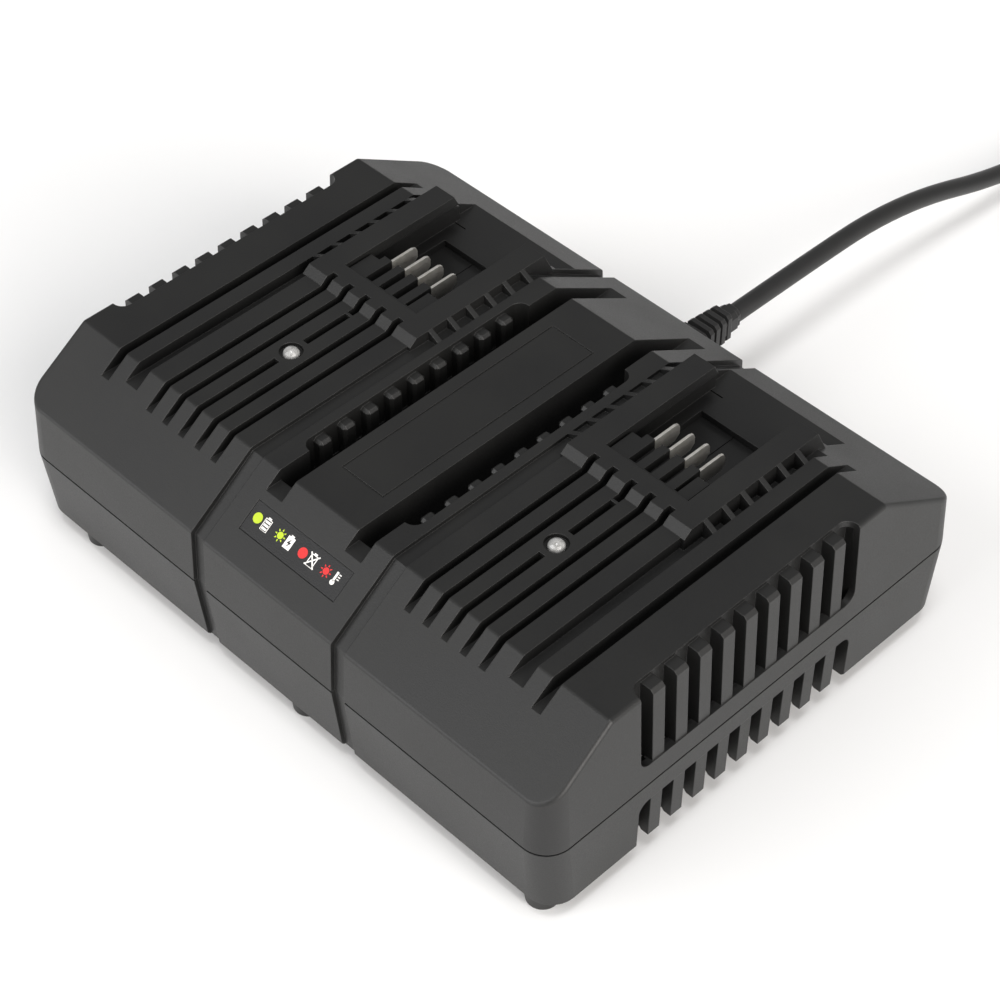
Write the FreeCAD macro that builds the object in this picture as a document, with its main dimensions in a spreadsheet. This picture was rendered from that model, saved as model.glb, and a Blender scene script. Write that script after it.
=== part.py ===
import FreeCAD, Part
import math
import os
import Sketcher

# Twin-bay charger for slide-on tool battery packs.
# Frame: +X along the long side, +Y towards the rear where the mains lead leaves, +Z up.
# The origin is on the floor under the middle of the case. All sizes are in millimetres.

doc = FreeCAD.newDocument("twin_bay_charger")
sheet = doc.addObject("Spreadsheet::Sheet", "Dims")
sheet_row = 0


class Size:
    """A length that carries its value now and the spreadsheet formula it comes from."""

    def __init__(self, value, formula):
        self.value = float(value)
        self.formula = formula

    def __add__(self, other):
        other = as_size(other)
        return Size(self.value + other.value, f"({self.formula} + {other.formula})")

    def __radd__(self, other):
        return as_size(other) + self

    def __sub__(self, other):
        other = as_size(other)
        return Size(self.value - other.value, f"({self.formula} - {other.formula})")

    def __rsub__(self, other):
        return as_size(other) - self

    def __mul__(self, other):
        other = as_size(other)
        return Size(self.value * other.value, f"({self.formula} * {other.formula})")

    def __rmul__(self, other):
        return as_size(other) * self

    def __truediv__(self, other):
        other = as_size(other)
        return Size(self.value / other.value, f"({self.formula} / {other.formula})")

    def __neg__(self):
        return Size(-self.value, f"(0 - {self.formula})")


def as_size(number):
    if isinstance(number, Size):
        return number
    return Size(number, f"({float(number):.6g})" if number < 0 else f"{float(number):.6g}")


def dim(alias, value, meaning):
    """Write one driving dimension into the spreadsheet and hand back its Size."""
    global sheet_row
    sheet_row += 1
    sheet.set(f"A{sheet_row}", meaning)
    sheet.set(f"B{sheet_row}", f"{value:g}")
    sheet.setAlias(f"B{sheet_row}", alias)
    return Size(value, f"Dims.{alias}")


# Case
case_length = dim("case_length", 240.0, "length of the case at the parting line, along X")
case_depth = dim("case_depth", 184.8, "depth of the case at the parting line, along Y")
corner_radius = dim("corner_radius", 9.5, "radius of the upright corners")
foot_height = dim("foot_height", 6.0, "clearance under the case")
parting_z = dim("parting_z", 34.0, "height of the joint between the two shells")
top_z = dim("top_z", 73.5, "height of the flat top")
front_edge_z = dim("front_edge_z", 55.0, "height where the front wall turns into the front slope")
rear_edge_z = dim("rear_edge_z", 50.8, "height where the rear wall turns into the rear slope")
front_ridge_y = dim("front_ridge_y", -65.2, "place of the ridge between front slope and top")
rear_ridge_y = dim("rear_ridge_y", 54.3, "place of the ridge between top and rear slope")
upper_draft = dim("upper_draft", 0.05, "inward draft of the upper walls per unit of height")
bottom_inset_x = dim("bottom_inset_x", 0.4, "inward set of the bottom edge at the ends")
bottom_inset_y = dim("bottom_inset_y", 2.9, "inward set of the bottom edge at front and rear")
wall = dim("wall", 2.4, "wall thickness of the shells")
top_fillet = dim("top_fillet", 1.5, "radius along the top edges")
bottom_edge = dim("bottom_edge", 1.1, "chamfer along the bottom edge")
seam_chamfer = dim("seam_chamfer", 0.35, "chamfer that marks the parting line")

# Belt grooves round the case
belt_x = dim("belt_x", 32.0, "centre of each belt groove from the middle")
belt_width = dim("belt_width", 5.8, "width of a belt groove")
belt_depth = dim("belt_depth", 1.5, "depth of a belt groove")

# Long grooves at the outer side of each bay
outer_groove_x = dim("outer_groove_x", 96.8, "centre of the narrow outer groove")
outer_groove_width = dim("outer_groove_width", 3.6, "width of the narrow outer groove")
slot_depth = dim("slot_depth", 6.15, "depth of the narrow grooves and slots below the top")
side_groove_in = dim("side_groove_in", 83.5, "inner edge of the wide side groove")
side_groove_out = dim("side_groove_out", 89.2, "outer edge of the wide side groove")
side_groove_depth = dim("side_groove_depth", 4.4, "depth of the wide side groove")
backing = dim("backing", 2.2, "material kept under a groove")

# Battery bays
bay_x = dim("bay_x", 59.3, "centre of each bay from the middle")
block_half = dim("block_half", 25.75, "half width of the raised rail block")
block_rise = dim("block_rise", 2.4, "rise of the rail block above the top")
block_front_y = dim("block_front_y", 3.4, "front edge of the rail block's top")
block_ramp = dim("block_ramp", 3.0, "run of the ramp in front of the rail block")
block_rear_y = dim("block_rear_y", 61.2, "rear edge of the rail block's top")
block_rear_run = dim("block_rear_run", 4.8, "run of the sloped rear end of the rails")
well_half = dim("well_half", 17.0, "half width between the rail lips")
well_front_y = dim("well_front_y", 11.4, "front end of the well")
lip_thickness = dim("lip_thickness", 4.3, "thickness of the rail lips")
channel_half = dim("channel_half", 22.2, "half width of the channel under the lips")
channel_mouth_half = dim("channel_mouth_half", 24.2, "half width of the channel's mouth")
channel_mouth_y = dim("channel_mouth_y", 68.5, "start of the wider mouth")
well_floor_z = dim("well_floor_z", 59.0, "height of the floor of the well")
well_floor_wall = dim("well_floor_wall", 2.6, "thickness of the floor of the well")
terminal_opening_half = dim("terminal_opening_half", 17.8, "half width of the opening for the terminals")
terminal_opening_rear = dim("terminal_opening_rear", 57.1, "rear edge of the opening for the terminals")
slot_pitch = dim("slot_pitch", 7.8, "spacing of the platform slots")
slot_width = dim("slot_width", 2.6, "width of a platform slot")
slot_end_y = dim("slot_end_y", 6.2, "rear end of the platform slots")
lens_y = dim("lens_y", -27.4, "place of the indicator lens")
lens_radius = dim("lens_radius", 2.85, "radius of the indicator lens dome")
lens_recess_radius = dim("lens_recess_radius", 4.0, "radius of the recess round the lens")
lens_recess_depth = dim("lens_recess_depth", 1.5, "depth of the recess round the lens")
lens_gap = dim("lens_gap", 6.0, "half length of the break in the middle slot at the lens")

# Bridging ribs beside the rail blocks
rib_thickness = dim("rib_thickness", 1.9, "thickness of a bridging rib")
rib_pitch = dim("rib_pitch", 8.32, "spacing of the bridging ribs")
rib_first_y = dim("rib_first_y", 9.35, "place of the first bridging rib")
rib_count = dim("rib_count", 6, "number of bridging ribs along one side")

# Cooling trenches beside the centre block
trench_in = dim("trench_in", 14.1, "inner edge of the trench")
trench_out = dim("trench_out", 21.4, "outer edge of the trench")
trench_recess_out = dim("trench_recess_out", 25.5, "outer edge of the finned recess")
trench_floor_z = dim("trench_floor_z", 57.0, "height of the trench floor")
trench_ledge_depth = dim("trench_ledge_depth", 4.4, "depth of the ledge at the front end")
recess_front_y = dim("recess_front_y", -53.4, "front end of the finned recesses")
recess_rear_y = dim("recess_rear_y", 42.0, "rear end of the finned recesses")
recess_corner = dim("recess_corner", 4.0, "corner radius of the finned recesses")
fin_pitch = dim("fin_pitch", 9.87, "spacing of the cooling fins")
fin_centre_y = dim("fin_centre_y", -6.2, "centre of the row of fins")
fin_count = dim("fin_count", 9, "number of fins in a row")
fin_drop = dim("fin_drop", 1.4, "depth of the fin tops below the top")
trench_fin_thickness = dim("trench_fin_thickness", 5.2, "thickness of a trench fin")

# Grilles in both ends
grille_lip_inset = dim("grille_lip_inset", 7.2, "set of the top plate's edge over the end grille from the end")
grille_vent_height = dim("grille_vent_height", 14.0, "height of the open strip under the grille's back wall")
grille_floor_z = dim("grille_floor_z", 42.4, "lower edge of the upper grille")
end_fin_thickness = dim("end_fin_thickness", 4.9, "thickness of an end fin")
end_fin_depth = dim("end_fin_depth", 7.5, "depth of an end fin")
lower_grille_top_z = dim("lower_grille_top_z", 26.0, "upper edge of the lower grille")
lower_grille_depth = dim("lower_grille_depth", 5.7, "depth of the lower grille's cut in the floor")
end_fin_foot_z = dim("end_fin_foot_z", 7.4, "lowest height of the lower fins")

# Legend plate on the front slope
legend_length = dim("legend_length", 42.6, "length of the legend plate")
legend_width = dim("legend_width", 10.4, "width of the legend plate")
legend_along = dim("legend_along", 15.6, "centre of the legend plate, up the slope")
legend_recess = dim("legend_recess", 0.5, "depth of the recess for the legend plate")
legend_thickness = dim("legend_thickness", 0.35, "thickness of the legend plate")

# Terminals
blade_pitch = dim("blade_pitch", 6.25, "spacing of the contact blades")
blade_thickness = dim("blade_thickness", 0.9, "thickness of a contact blade")
blade_top_z = dim("blade_top_z", 73.9, "upper edge of the blades")
blade_height = dim("blade_height", 6.7, "height of a blade")
blade_tip_y = dim("blade_tip_y", 36.4, "tip of the blades")
comb_top_z = dim("comb_top_z", 74.6, "top of the terminal comb")
comb_rear_y = dim("comb_rear_y", 24.7, "rear faces of the teeth")
comb_half = dim("comb_half", 16.0, "half width of the terminal comb")
comb_gap_depth = dim("comb_gap_depth", 3.6, "depth of the gaps between the teeth")
blade_tail = dim("blade_tail", 5.0, "width of the blades' tails that go down to the board")
carrier_thickness = dim("carrier_thickness", 2.8, "thickness of the terminal carrier's plate")
leg_size = dim("leg_size", 5.0, "width of the terminal carrier's legs")
fit_gap = dim("fit_gap", 0.15, "clearance between parts that fit into one another")

# Rear cord outlet
cord_diameter = dim("cord_diameter", 6.9, "diameter of the mains cord")
outlet_z = dim("outlet_z", 34.0, "height of the cord outlet")
boot_width = dim("boot_width", 13.3, "width of the strain relief at the case")
boot_height = dim("boot_height", 12.0, "height of the strain relief")
boot_length = dim("boot_length", 30.0, "length of the strain relief outside the case")

# Feet and screws
foot_radius = dim("foot_radius", 6.0, "radius of a rubber foot")
foot_inset_x = dim("foot_inset_x", 16.5, "set of the outer feet from the ends")
foot_inset_y = dim("foot_inset_y", 10.1, "set of the feet from the front and rear walls")
foot_shift = dim("foot_shift", 5.5, "shift of the row of feet towards +X")
foot_seat = dim("foot_seat", 0.6, "depth of the seat of a foot")
screw_inset_x = dim("screw_inset_x", 14.0, "set of the outer screws from the ends")
screw_inset_y = dim("screw_inset_y", 26.4, "set of the screws from the front and rear walls")
boss_radius = dim("boss_radius", 4.5, "radius of a screw boss")
screw_radius = dim("screw_radius", 1.5, "radius of a screw's thread")
screw_head_radius = dim("screw_head_radius", 3.1, "radius of a screw's head")
screw_seat_z = dim("screw_seat_z", 22.0, "height of the seat of the screw heads")
screw_length = dim("screw_length", 24.0, "length of a screw under its head")

# Electronics
board_length = dim("board_length", 160.0, "length of the circuit board")
board_depth = dim("board_depth", 112.0, "depth of the circuit board")
board_thickness = dim("board_thickness", 1.6, "thickness of the circuit board")
board_z = dim("board_z", 16.0, "height of the circuit board's underside")
board_seat_x = dim("board_seat_x", 30.0, "places of the board's screws along X")
board_seat_y = dim("board_seat_y", 50.0, "places of the board's screws along Y")
board_screw_radius = dim("board_screw_radius", 1.2, "radius of a board screw's thread")

# Mains plug and put-away coil of the cord
coil_entry_x = dim("coil_entry_x", 2.0, "place along X where the cord enters its coil")
coil_entry_y = dim("coil_entry_y", 385.0, "place along Y where the cord enters its coil")
coil_mid_radius = dim("coil_mid_radius", 41.0, "radius of the coil's middle turn")
coil_spacing = dim("coil_spacing", 7.45, "distance from turn to turn and from layer to layer")
coil_tail = dim("coil_tail", 30.0, "straight end of the cord between coil and plug")
plug_relief = dim("plug_relief", 25.0, "length of the plug's tapered strain relief")
plug_length = dim("plug_length", 34.0, "length of the plug's body")
plug_width = dim("plug_width", 27.0, "width of the plug's body")
pin_spacing = dim("pin_spacing", 12.7, "distance between the plug's pins")
pin_length = dim("pin_length", 16.5, "length of a pin outside the plug")
pin_width = dim("pin_width", 6.3, "width of a pin")
pin_thickness = dim("pin_thickness", 1.5, "thickness of a pin")

doc.recompute()


# Sketching and building helpers

def new_body(name):
    made = doc.addObject("PartDesign::Body", name)
    made.Label = name
    return made


def origin_feature(owner, role):
    for feature in owner.Origin.OriginFeatures:
        if feature.Role == role:
            return feature


def new_sketch(owner, name, role, offset=0.0):
    """A sketch on one of the body's own origin planes, moved along the plane's normal."""
    made = owner.newObject("Sketcher::SketchObject", name)
    made.AttachmentSupport = [(origin_feature(owner, role), "")]
    made.MapMode = "FlatFace"
    offset = as_size(offset)
    made.AttachmentOffset = FreeCAD.Placement(FreeCAD.Vector(0, 0, offset.value), FreeCAD.Rotation())
    made.setExpression("AttachmentOffset.Base.z", offset.formula)
    return made


def hold_vertex(outline, index, x, y):
    """Fix the start of one line of a sketch at (x, y) with two driving constraints."""
    for kind, axis, size in (("DistanceX", -2, as_size(x)), ("DistanceY", -1, as_size(y))):
        if abs(size.value) < 1e-9:
            outline.addConstraint(Sketcher.Constraint("PointOnObject", index, 1, axis))
            continue
        if size.value > 0:
            place = outline.addConstraint(Sketcher.Constraint(kind, -1, 1, index, 1, size.value))
            outline.setExpression(f"Constraints[{place}]", size.formula)
        else:
            place = outline.addConstraint(Sketcher.Constraint(kind, index, 1, -1, 1, -size.value))
            outline.setExpression(f"Constraints[{place}]", (-size).formula)


def add_polygon(outline, points):
    """Add a closed outline of straight lines through the given points."""
    first = outline.GeometryCount
    spots = [FreeCAD.Vector(as_size(x).value, as_size(y).value, 0) for x, y in points]
    for here, there in zip(spots, spots[1:] + spots[:1]):
        outline.addGeometry(Part.LineSegment(here, there), False)
    last = outline.GeometryCount - 1
    for index in range(first, last + 1):
        after = index + 1 if index < last else first
        outline.addConstraint(Sketcher.Constraint("Coincident", index, 2, after, 1))
    for index, (x, y) in enumerate(points):
        hold_vertex(outline, first + index, x, y)


def add_rounded_rectangle(outline, length, depth, radius):
    """Add a rounded rectangle centred on the sketch's origin."""
    half_x, half_y, r = length.value / 2, depth.value / 2, radius.value
    corners = [(half_x, -half_y), (half_x, half_y), (-half_x, half_y), (-half_x, -half_y)]
    starts = [(-half_x + r, -half_y), (half_x, -half_y + r), (half_x - r, half_y), (-half_x, half_y - r)]
    ends = [(half_x - r, -half_y), (half_x, half_y - r), (-half_x + r, half_y), (-half_x, -half_y + r)]
    for number, (corner, start, end) in enumerate(zip(corners, starts, ends)):
        outline.addGeometry(Part.LineSegment(FreeCAD.Vector(*start, 0), FreeCAD.Vector(*end, 0)), False)
        centre = FreeCAD.Vector(math.copysign(half_x - r, corner[0]), math.copysign(half_y - r, corner[1]), 0)
        circle = Part.Circle(centre, FreeCAD.Vector(0, 0, 1), r)
        turn = math.radians(-90 + 90 * number)
        outline.addGeometry(Part.ArcOfCircle(circle, turn, turn + math.pi / 2), False)
    for number in range(4):
        line, arc, after = 2 * number, 2 * number + 1, (2 * number + 2) % 8
        outline.addConstraint(Sketcher.Constraint("Tangent", line, 2, arc, 1))
        outline.addConstraint(Sketcher.Constraint("Tangent", arc, 2, after, 1))
        level = "Horizontal" if number % 2 == 0 else "Vertical"
        outline.addConstraint(Sketcher.Constraint(level, line))
        if number:
            outline.addConstraint(Sketcher.Constraint("Equal", 1, arc))
    sizes = [
        (Sketcher.Constraint("Radius", 1, r), radius),
        (Sketcher.Constraint("DistanceX", 6, 1, 2, 2, length.value), length),
        (Sketcher.Constraint("DistanceY", 0, 1, 4, 2, depth.value), depth),
    ]
    for constraint, size in sizes:
        place = outline.addConstraint(constraint)
        outline.setExpression(f"Constraints[{place}]", size.formula)
    outline.addConstraint(Sketcher.Constraint("Symmetric", 6, 1, 2, 1, -1, 1))


def pad(owner, name, outline, length):
    made = owner.newObject("PartDesign::Pad", name)
    made.Profile = outline
    made.Length = as_size(length).value
    made.setExpression("Length", as_size(length).formula)
    owner.Tip = made
    return made


def bar_along_x(name, low_x, high_x, points):
    """A body whose (Y, Z) outline runs along X from low_x to high_x."""
    owner = new_body(name)
    outline = new_sketch(owner, name + "_outline", "YZ_Plane", low_x)
    add_polygon(outline, points)
    pad(owner, name + "_bar", outline, as_size(high_x) - low_x)
    return owner


def bar_along_y(name, low_y, high_y, points):
    """A body whose (X, Z) outline runs along Y from low_y to high_y."""
    owner = new_body(name)
    outline = new_sketch(owner, name + "_outline", "XZ_Plane", -as_size(high_y))
    add_polygon(outline, points)
    pad(owner, name + "_bar", outline, as_size(high_y) - low_y)
    return owner


def bar_along_z(name, low_z, high_z, points):
    """A body whose (X, Y) outline runs along Z from low_z to high_z."""
    owner = new_body(name)
    outline = new_sketch(owner, name + "_outline", "XY_Plane", low_z)
    add_polygon(outline, points)
    pad(owner, name + "_bar", outline, as_size(high_z) - low_z)
    return owner


def box(name, x, y, z):
    """A block between two places along each axis."""
    made = doc.addObject("Part::Box", name)
    for side, axis, (low, high) in (("Length", "x", x), ("Width", "y", y), ("Height", "z", z)):
        low, high = as_size(low), as_size(high)
        made.setExpression(side, (high - low).formula)
        made.setExpression("Placement.Base." + axis, low.formula)
    return made


def cylinder(name, x, y, z, radius):
    """An upright cylinder between two heights."""
    made = doc.addObject("Part::Cylinder", name)
    low, high = as_size(z[0]), as_size(z[1])
    made.setExpression("Radius", as_size(radius).formula)
    made.setExpression("Height", (high - low).formula)
    for axis, place in (("x", x), ("y", y), ("z", low)):
        made.setExpression("Placement.Base." + axis, as_size(place).formula)
    return made


def post(name, x, y, z, radius):
    """A twelve-sided upright post, for hidden bosses, wells and shanks."""
    made = doc.addObject("Part::Prism", name)
    made.Polygon = 12
    low, high = as_size(z[0]), as_size(z[1])
    made.setExpression("Circumradius", as_size(radius).formula)
    made.setExpression("Height", (high - low).formula)
    for axis, place in (("x", x), ("y", y), ("z", low)):
        made.setExpression("Placement.Base." + axis, as_size(place).formula)
    return made


def cone(name, x, y, z, low_radius, high_radius):
    """An upright cone between two heights."""
    made = doc.addObject("Part::Cone", name)
    low, high = as_size(z[0]), as_size(z[1])
    made.setExpression("Radius1", as_size(low_radius).formula)
    made.setExpression("Radius2", as_size(high_radius).formula)
    made.setExpression("Height", (high - low).formula)
    for axis, place in (("x", x), ("y", y), ("z", low)):
        made.setExpression("Placement.Base." + axis, as_size(place).formula)
    return made


def joined(name, pieces):
    if len(pieces) == 1:
        return pieces[0]
    made = doc.addObject("Part::MultiFuse", name)
    made.Shapes = pieces
    return made


def less(name, base, tools):
    """Take every tool away from the base in one cut."""
    made = doc.addObject("Part::Cut", name)
    made.Base = base
    made.Tool = joined(name + "_tools", tools)
    return made


def mirrored(name, source):
    """The same form on the other side of the middle plane."""
    made = doc.addObject("Part::Mirroring", name)
    made.Source = source
    made.Normal = FreeCAD.Vector(1, 0, 0)
    return made


def both_sides(name, source):
    return [source, mirrored(name + "_mirror", source)]


def edges_where(shape, test):
    """Names of the edges whose middle passes the test."""
    names = []
    for number, edge in enumerate(shape.Edges, 1):
        middle = edge.valueAt((edge.FirstParameter + edge.LastParameter) / 2)
        if test(edge, middle):
            names.append(f"Edge{number}")
    return names


def rounded(owner, name, kind, base, size_name, size, names):
    """A fillet or chamfer of the named edges of the last feature."""
    made = owner.newObject("PartDesign::" + kind, name)
    made.Base = (base, names)
    setattr(made, size_name, size.value)
    made.setExpression(size_name, size.formula)
    owner.Tip = made
    return made


def fin_row(name, rail_x, rail_z, fin_points, thickness, first_y, pitch, count, rail_margin, corner=None):
    """A row of equal upright fins along Y, tied together by a rail that is buried in the wall."""
    owner = new_body(name)
    span = pitch * (count - 1)
    rail = new_sketch(owner, name + "_rail", "XZ_Plane", -(first_y + span + thickness / 2 + rail_margin))
    low_x, high_x = rail_x
    low_z, high_z = rail_z
    add_polygon(rail, [(low_x, low_z), (high_x, low_z), (high_x, high_z), (low_x, high_z)])
    pad(owner, name + "_rail_bar", rail, span + thickness + rail_margin * 2)
    outline = new_sketch(owner, name + "_fin", "XZ_Plane", -(first_y + thickness / 2))
    add_polygon(outline, fin_points)
    fin = pad(owner, name + "_fin_plate", outline, thickness)
    originals = [fin]
    doc.recompute()
    if corner:
        kind, size_name, size, test = corner
        softened = rounded(owner, name + "_softening", kind, fin, size_name, size, edges_where(fin.Shape, test))
        originals.append(softened)
    row = owner.newObject("PartDesign::LinearPattern", name + "_row")
    row.Originals = originals
    row.Direction = (origin_feature(owner, "Y_Axis"), [""])
    row.setExpression("Length", span.formula)
    row.setExpression("Occurrences", count.formula)
    owner.Tip = row
    return owner


# Shell forms

half_length = case_length / 2
half_depth = case_depth / 2
grille_lip_x = half_length - grille_lip_inset
form_top_z = top_z + 6.5
seam_fit = 0.02


def loft(owner, name, levels):
    """A ruled loft through rounded rectangles given as (height, length, depth, radius)."""
    outlines = []
    for number, (height, length, depth, radius) in enumerate(levels):
        outline = new_sketch(owner, f"{name}_section_{number}", "XY_Plane", height)
        add_rounded_rectangle(outline, length, depth, radius)
        outlines.append(outline)
    made = owner.newObject("PartDesign::AdditiveLoft", name)
    made.Profile = outlines[0]
    made.Sections = outlines[1:]
    made.Ruled = True
    owner.Tip = made
    return made


def slope_height(y, ridge_y, edge_z, side):
    """Height of the front (side -1) or rear (side +1) slope's plane at a place along Y."""
    run = half_depth - (edge_z - parting_z) * upper_draft
    fall = (top_z - edge_z) / (run - ridge_y * side)
    return top_z - (as_size(y) * side - ridge_y * side) * fall


def upper_form(name, inset, start_z, seam):
    """The upper shell's outer form, or its cavity when it is set in from the outside."""
    owner = new_body(name)
    height = form_top_z - parting_z
    levels = [(start_z, case_length - (inset + seam) * 2, case_depth - (inset + seam) * 2,
               corner_radius - inset - seam)]
    if seam.value:
        levels.append((start_z + seam, case_length - inset * 2, case_depth - inset * 2, corner_radius - inset))
    levels.append((form_top_z, case_length - (inset + height * upper_draft) * 2,
                   case_depth - (inset + height * upper_draft) * 2,
                   corner_radius - inset - height * upper_draft))
    loft(owner, name + "_walls", levels)
    outline = new_sketch(owner, name + "_roof", "YZ_Plane", -half_length - 5)
    edge_y = half_depth + 10
    lift = form_top_z + 10
    slope_inset = inset * 1.2
    add_polygon(outline, [
        (-edge_y, slope_height(-edge_y, front_ridge_y, front_edge_z, -1) - slope_inset),
        (front_ridge_y + inset * 0.35, top_z - inset),
        (rear_ridge_y - inset * 0.35, top_z - inset),
        (edge_y, slope_height(edge_y, rear_ridge_y, rear_edge_z, 1) - slope_inset),
        (edge_y, lift),
        (-edge_y, lift),
    ])
    roof = owner.newObject("PartDesign::Pocket", name + "_roof_cut")
    roof.Profile = outline
    roof.setExpression("Length", (case_length + 10).formula)
    roof.Reversed = True
    owner.Tip = roof
    doc.recompute()
    return owner


def lower_form(name, inset, floor_z, top, edge, seam):
    """The lower shell's outer form, or its cavity when it is set in from the outside."""
    owner = new_body(name)
    share = (parting_z - floor_z) / (parting_z - foot_height)
    inset_x = inset + bottom_inset_x * share
    inset_y = inset + bottom_inset_y * share
    levels = [(floor_z, case_length - (inset_x + edge) * 2, case_depth - (inset_y + edge) * 2,
               corner_radius - inset - edge)]
    if edge.value:
        levels.append((floor_z + edge, case_length - inset_x * 2, case_depth - inset_y * 2,
                       corner_radius - inset))
    rim = inset + seam * 2
    if seam.value:
        levels.append((top - seam * 1.2, case_length - inset * 2, case_depth - inset * 2, corner_radius - inset))
        levels.append((top - seam, case_length - rim * 2, case_depth - rim * 2, corner_radius - rim))
    levels.append((top, case_length - rim * 2, case_depth - rim * 2, corner_radius - rim))
    loft(owner, name + "_walls", levels)
    doc.recompute()
    return owner


# Upper housing

nothing = Size(0, "0")
upper_outer = upper_form("upper_outer", nothing, parting_z, seam_chamfer)
roof_feature = upper_outer.Tip


def on_top_edge(edge, middle):
    return middle.z > rear_edge_z.value - 3 and edge.Length > 3


names = edges_where(roof_feature.Shape, on_top_edge)
rounded(upper_outer, "upper_top_rounding", "Fillet", roof_feature, "Radius", top_fillet, names)

upper_cavity = upper_form("upper_cavity", wall, parting_z - 1, nothing)

pan_half = channel_mouth_half + wall * 0.9
trench_pan_in = trench_in - wall
trench_pan_out = trench_recess_out + wall
keep = []
for side, bay in (("left", -bay_x), ("right", bay_x)):
    keep.append(box(side + "_well_pan", (bay - pan_half, bay + pan_half),
                    (well_front_y - wall, half_depth), (well_floor_z - well_floor_wall, top_z)))
    keep.append(box(side + "_platform_backing", (bay - block_half, bay + pan_half - 2),
                    (-half_depth, well_front_y), (top_z - slot_depth - backing, top_z)))
for piece in (
    box("groove_backing", (side_groove_in - backing, outer_groove_x + outer_groove_width / 2 + backing),
        (-half_depth, half_depth), (top_z - slot_depth - backing, top_z)),
    box("trench_pan", (trench_pan_in, trench_pan_out),
        (-half_depth, half_depth), (trench_floor_z - wall, top_z)),
    box("grille_back", (grille_lip_x - wall, grille_lip_x), (recess_front_y - wall, recess_rear_y + wall),
        (grille_floor_z + grille_vent_height, top_z)),
    box("grille_cheek_front", (grille_lip_x - wall, half_length), (recess_front_y - wall, recess_front_y),
        (grille_floor_z - wall, top_z)),
    box("grille_cheek_rear", (grille_lip_x - wall, half_length), (recess_rear_y, recess_rear_y + wall),
        (grille_floor_z - wall, top_z)),
):
    keep += both_sides(piece.Name, piece)
cavity_left = less("upper_cavity_trimmed", upper_cavity, keep)
upper_shell = less("upper_shell", upper_outer, [cavity_left])

# Belt grooves: a ring round the case, deeper than the skin by belt_depth
belt_low = belt_x - belt_width / 2
belt_high = belt_x + belt_width / 2
belt_y = half_depth - belt_depth
belt_front_edge_z = slope_height(-belt_y, front_ridge_y, front_edge_z, -1) - belt_depth * 1.25
belt_rear_edge_z = slope_height(belt_y, rear_ridge_y, rear_edge_z, 1) - belt_depth * 1.25
belt = new_body("belt_groove")
belt_outline = new_sketch(belt, "belt_groove_outline", "YZ_Plane", belt_low)
far = half_depth + 8
add_polygon(belt_outline, [(-far, 0), (far, 0), (far, form_top_z + 4), (-far, form_top_z + 4)])
belt_draft = (front_edge_z - parting_z) * upper_draft
belt_bottom = bottom_inset_y * 1.1
add_polygon(belt_outline, [
    (-(belt_y - belt_bottom), 2),
    (-belt_y, parting_z),
    (-(belt_y - belt_draft), belt_front_edge_z),
    (front_ridge_y + belt_depth * 0.35, top_z - belt_depth),
    (rear_ridge_y - belt_depth * 0.35, top_z - belt_depth),
    (belt_y - belt_draft, belt_rear_edge_z),
    (belt_y, parting_z),
    (belt_y - belt_bottom, 2),
])
pad(belt, "belt_groove_ring", belt_outline, belt_width)
belts = both_sides("belt_groove", belt)

grooves = list(belts)
grooves += both_sides("outer_groove", box(
    "outer_groove", (outer_groove_x - outer_groove_width / 2, outer_groove_x + outer_groove_width / 2),
    (-half_depth, half_depth + 2), (top_z - slot_depth, form_top_z)))
grooves += both_sides("side_groove", box(
    "side_groove", (side_groove_in, side_groove_out),
    (-half_depth, half_depth + 2), (top_z - side_groove_depth, form_top_z)))
upper_grooved = less("upper_grooved", upper_shell, grooves)

# Raised rail blocks with their ramps and the ribs that bridge the grooves beside them
block_top_z = top_z + block_rise
block_root_z = top_z - side_groove_depth - 0.6
blocks = []
for side, bay in (("left", -bay_x), ("right", bay_x)):
    rear_y = block_rear_y + block_rear_run
    blocks.append(bar_along_x(side + "_rail_block", bay - block_half, bay + block_half, [
        (block_front_y - block_ramp, top_z - 0.01),
        (block_front_y, block_top_z),
        (block_rear_y, block_top_z),
        (rear_y, slope_height(rear_y, rear_ridge_y, rear_edge_z, 1) - 0.3),
        (rear_y - 4, block_root_z - 2),
        (block_front_y - block_ramp, block_root_z),
    ]))

block_in = bay_x - block_half
block_out = bay_x + block_half
inner_ribs = fin_row(
    "inner_ribs", (belt_low, block_in + 1), (top_z - belt_depth - 1.2, top_z - belt_depth - 0.2),
    [(belt_low, top_z - belt_depth - 1), (block_in + 1, top_z - belt_depth - 1),
     (block_in + 1, block_top_z - 0.1), (block_in, block_top_z - 0.1), (belt_low, top_z)],
    rib_thickness, rib_first_y, rib_pitch, rib_count, Size(1, "1"))
outer_ribs = fin_row(
    "outer_ribs", (block_out - 1, side_groove_out), (top_z - side_groove_depth - 1, top_z - side_groove_depth - 0.2),
    [(block_out - 1, top_z - side_groove_depth - 0.8), (side_groove_out, top_z - side_groove_depth - 0.8),
     (side_groove_out, top_z), (block_out, block_top_z - 0.1), (block_out - 1, block_top_z - 0.1)],
    rib_thickness, rib_first_y, rib_pitch, rib_count, Size(1, "1"))
upper_raised = joined("upper_raised", [upper_grooved] + blocks
                      + both_sides("inner_ribs", inner_ribs) + both_sides("outer_ribs", outer_ribs))

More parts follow.
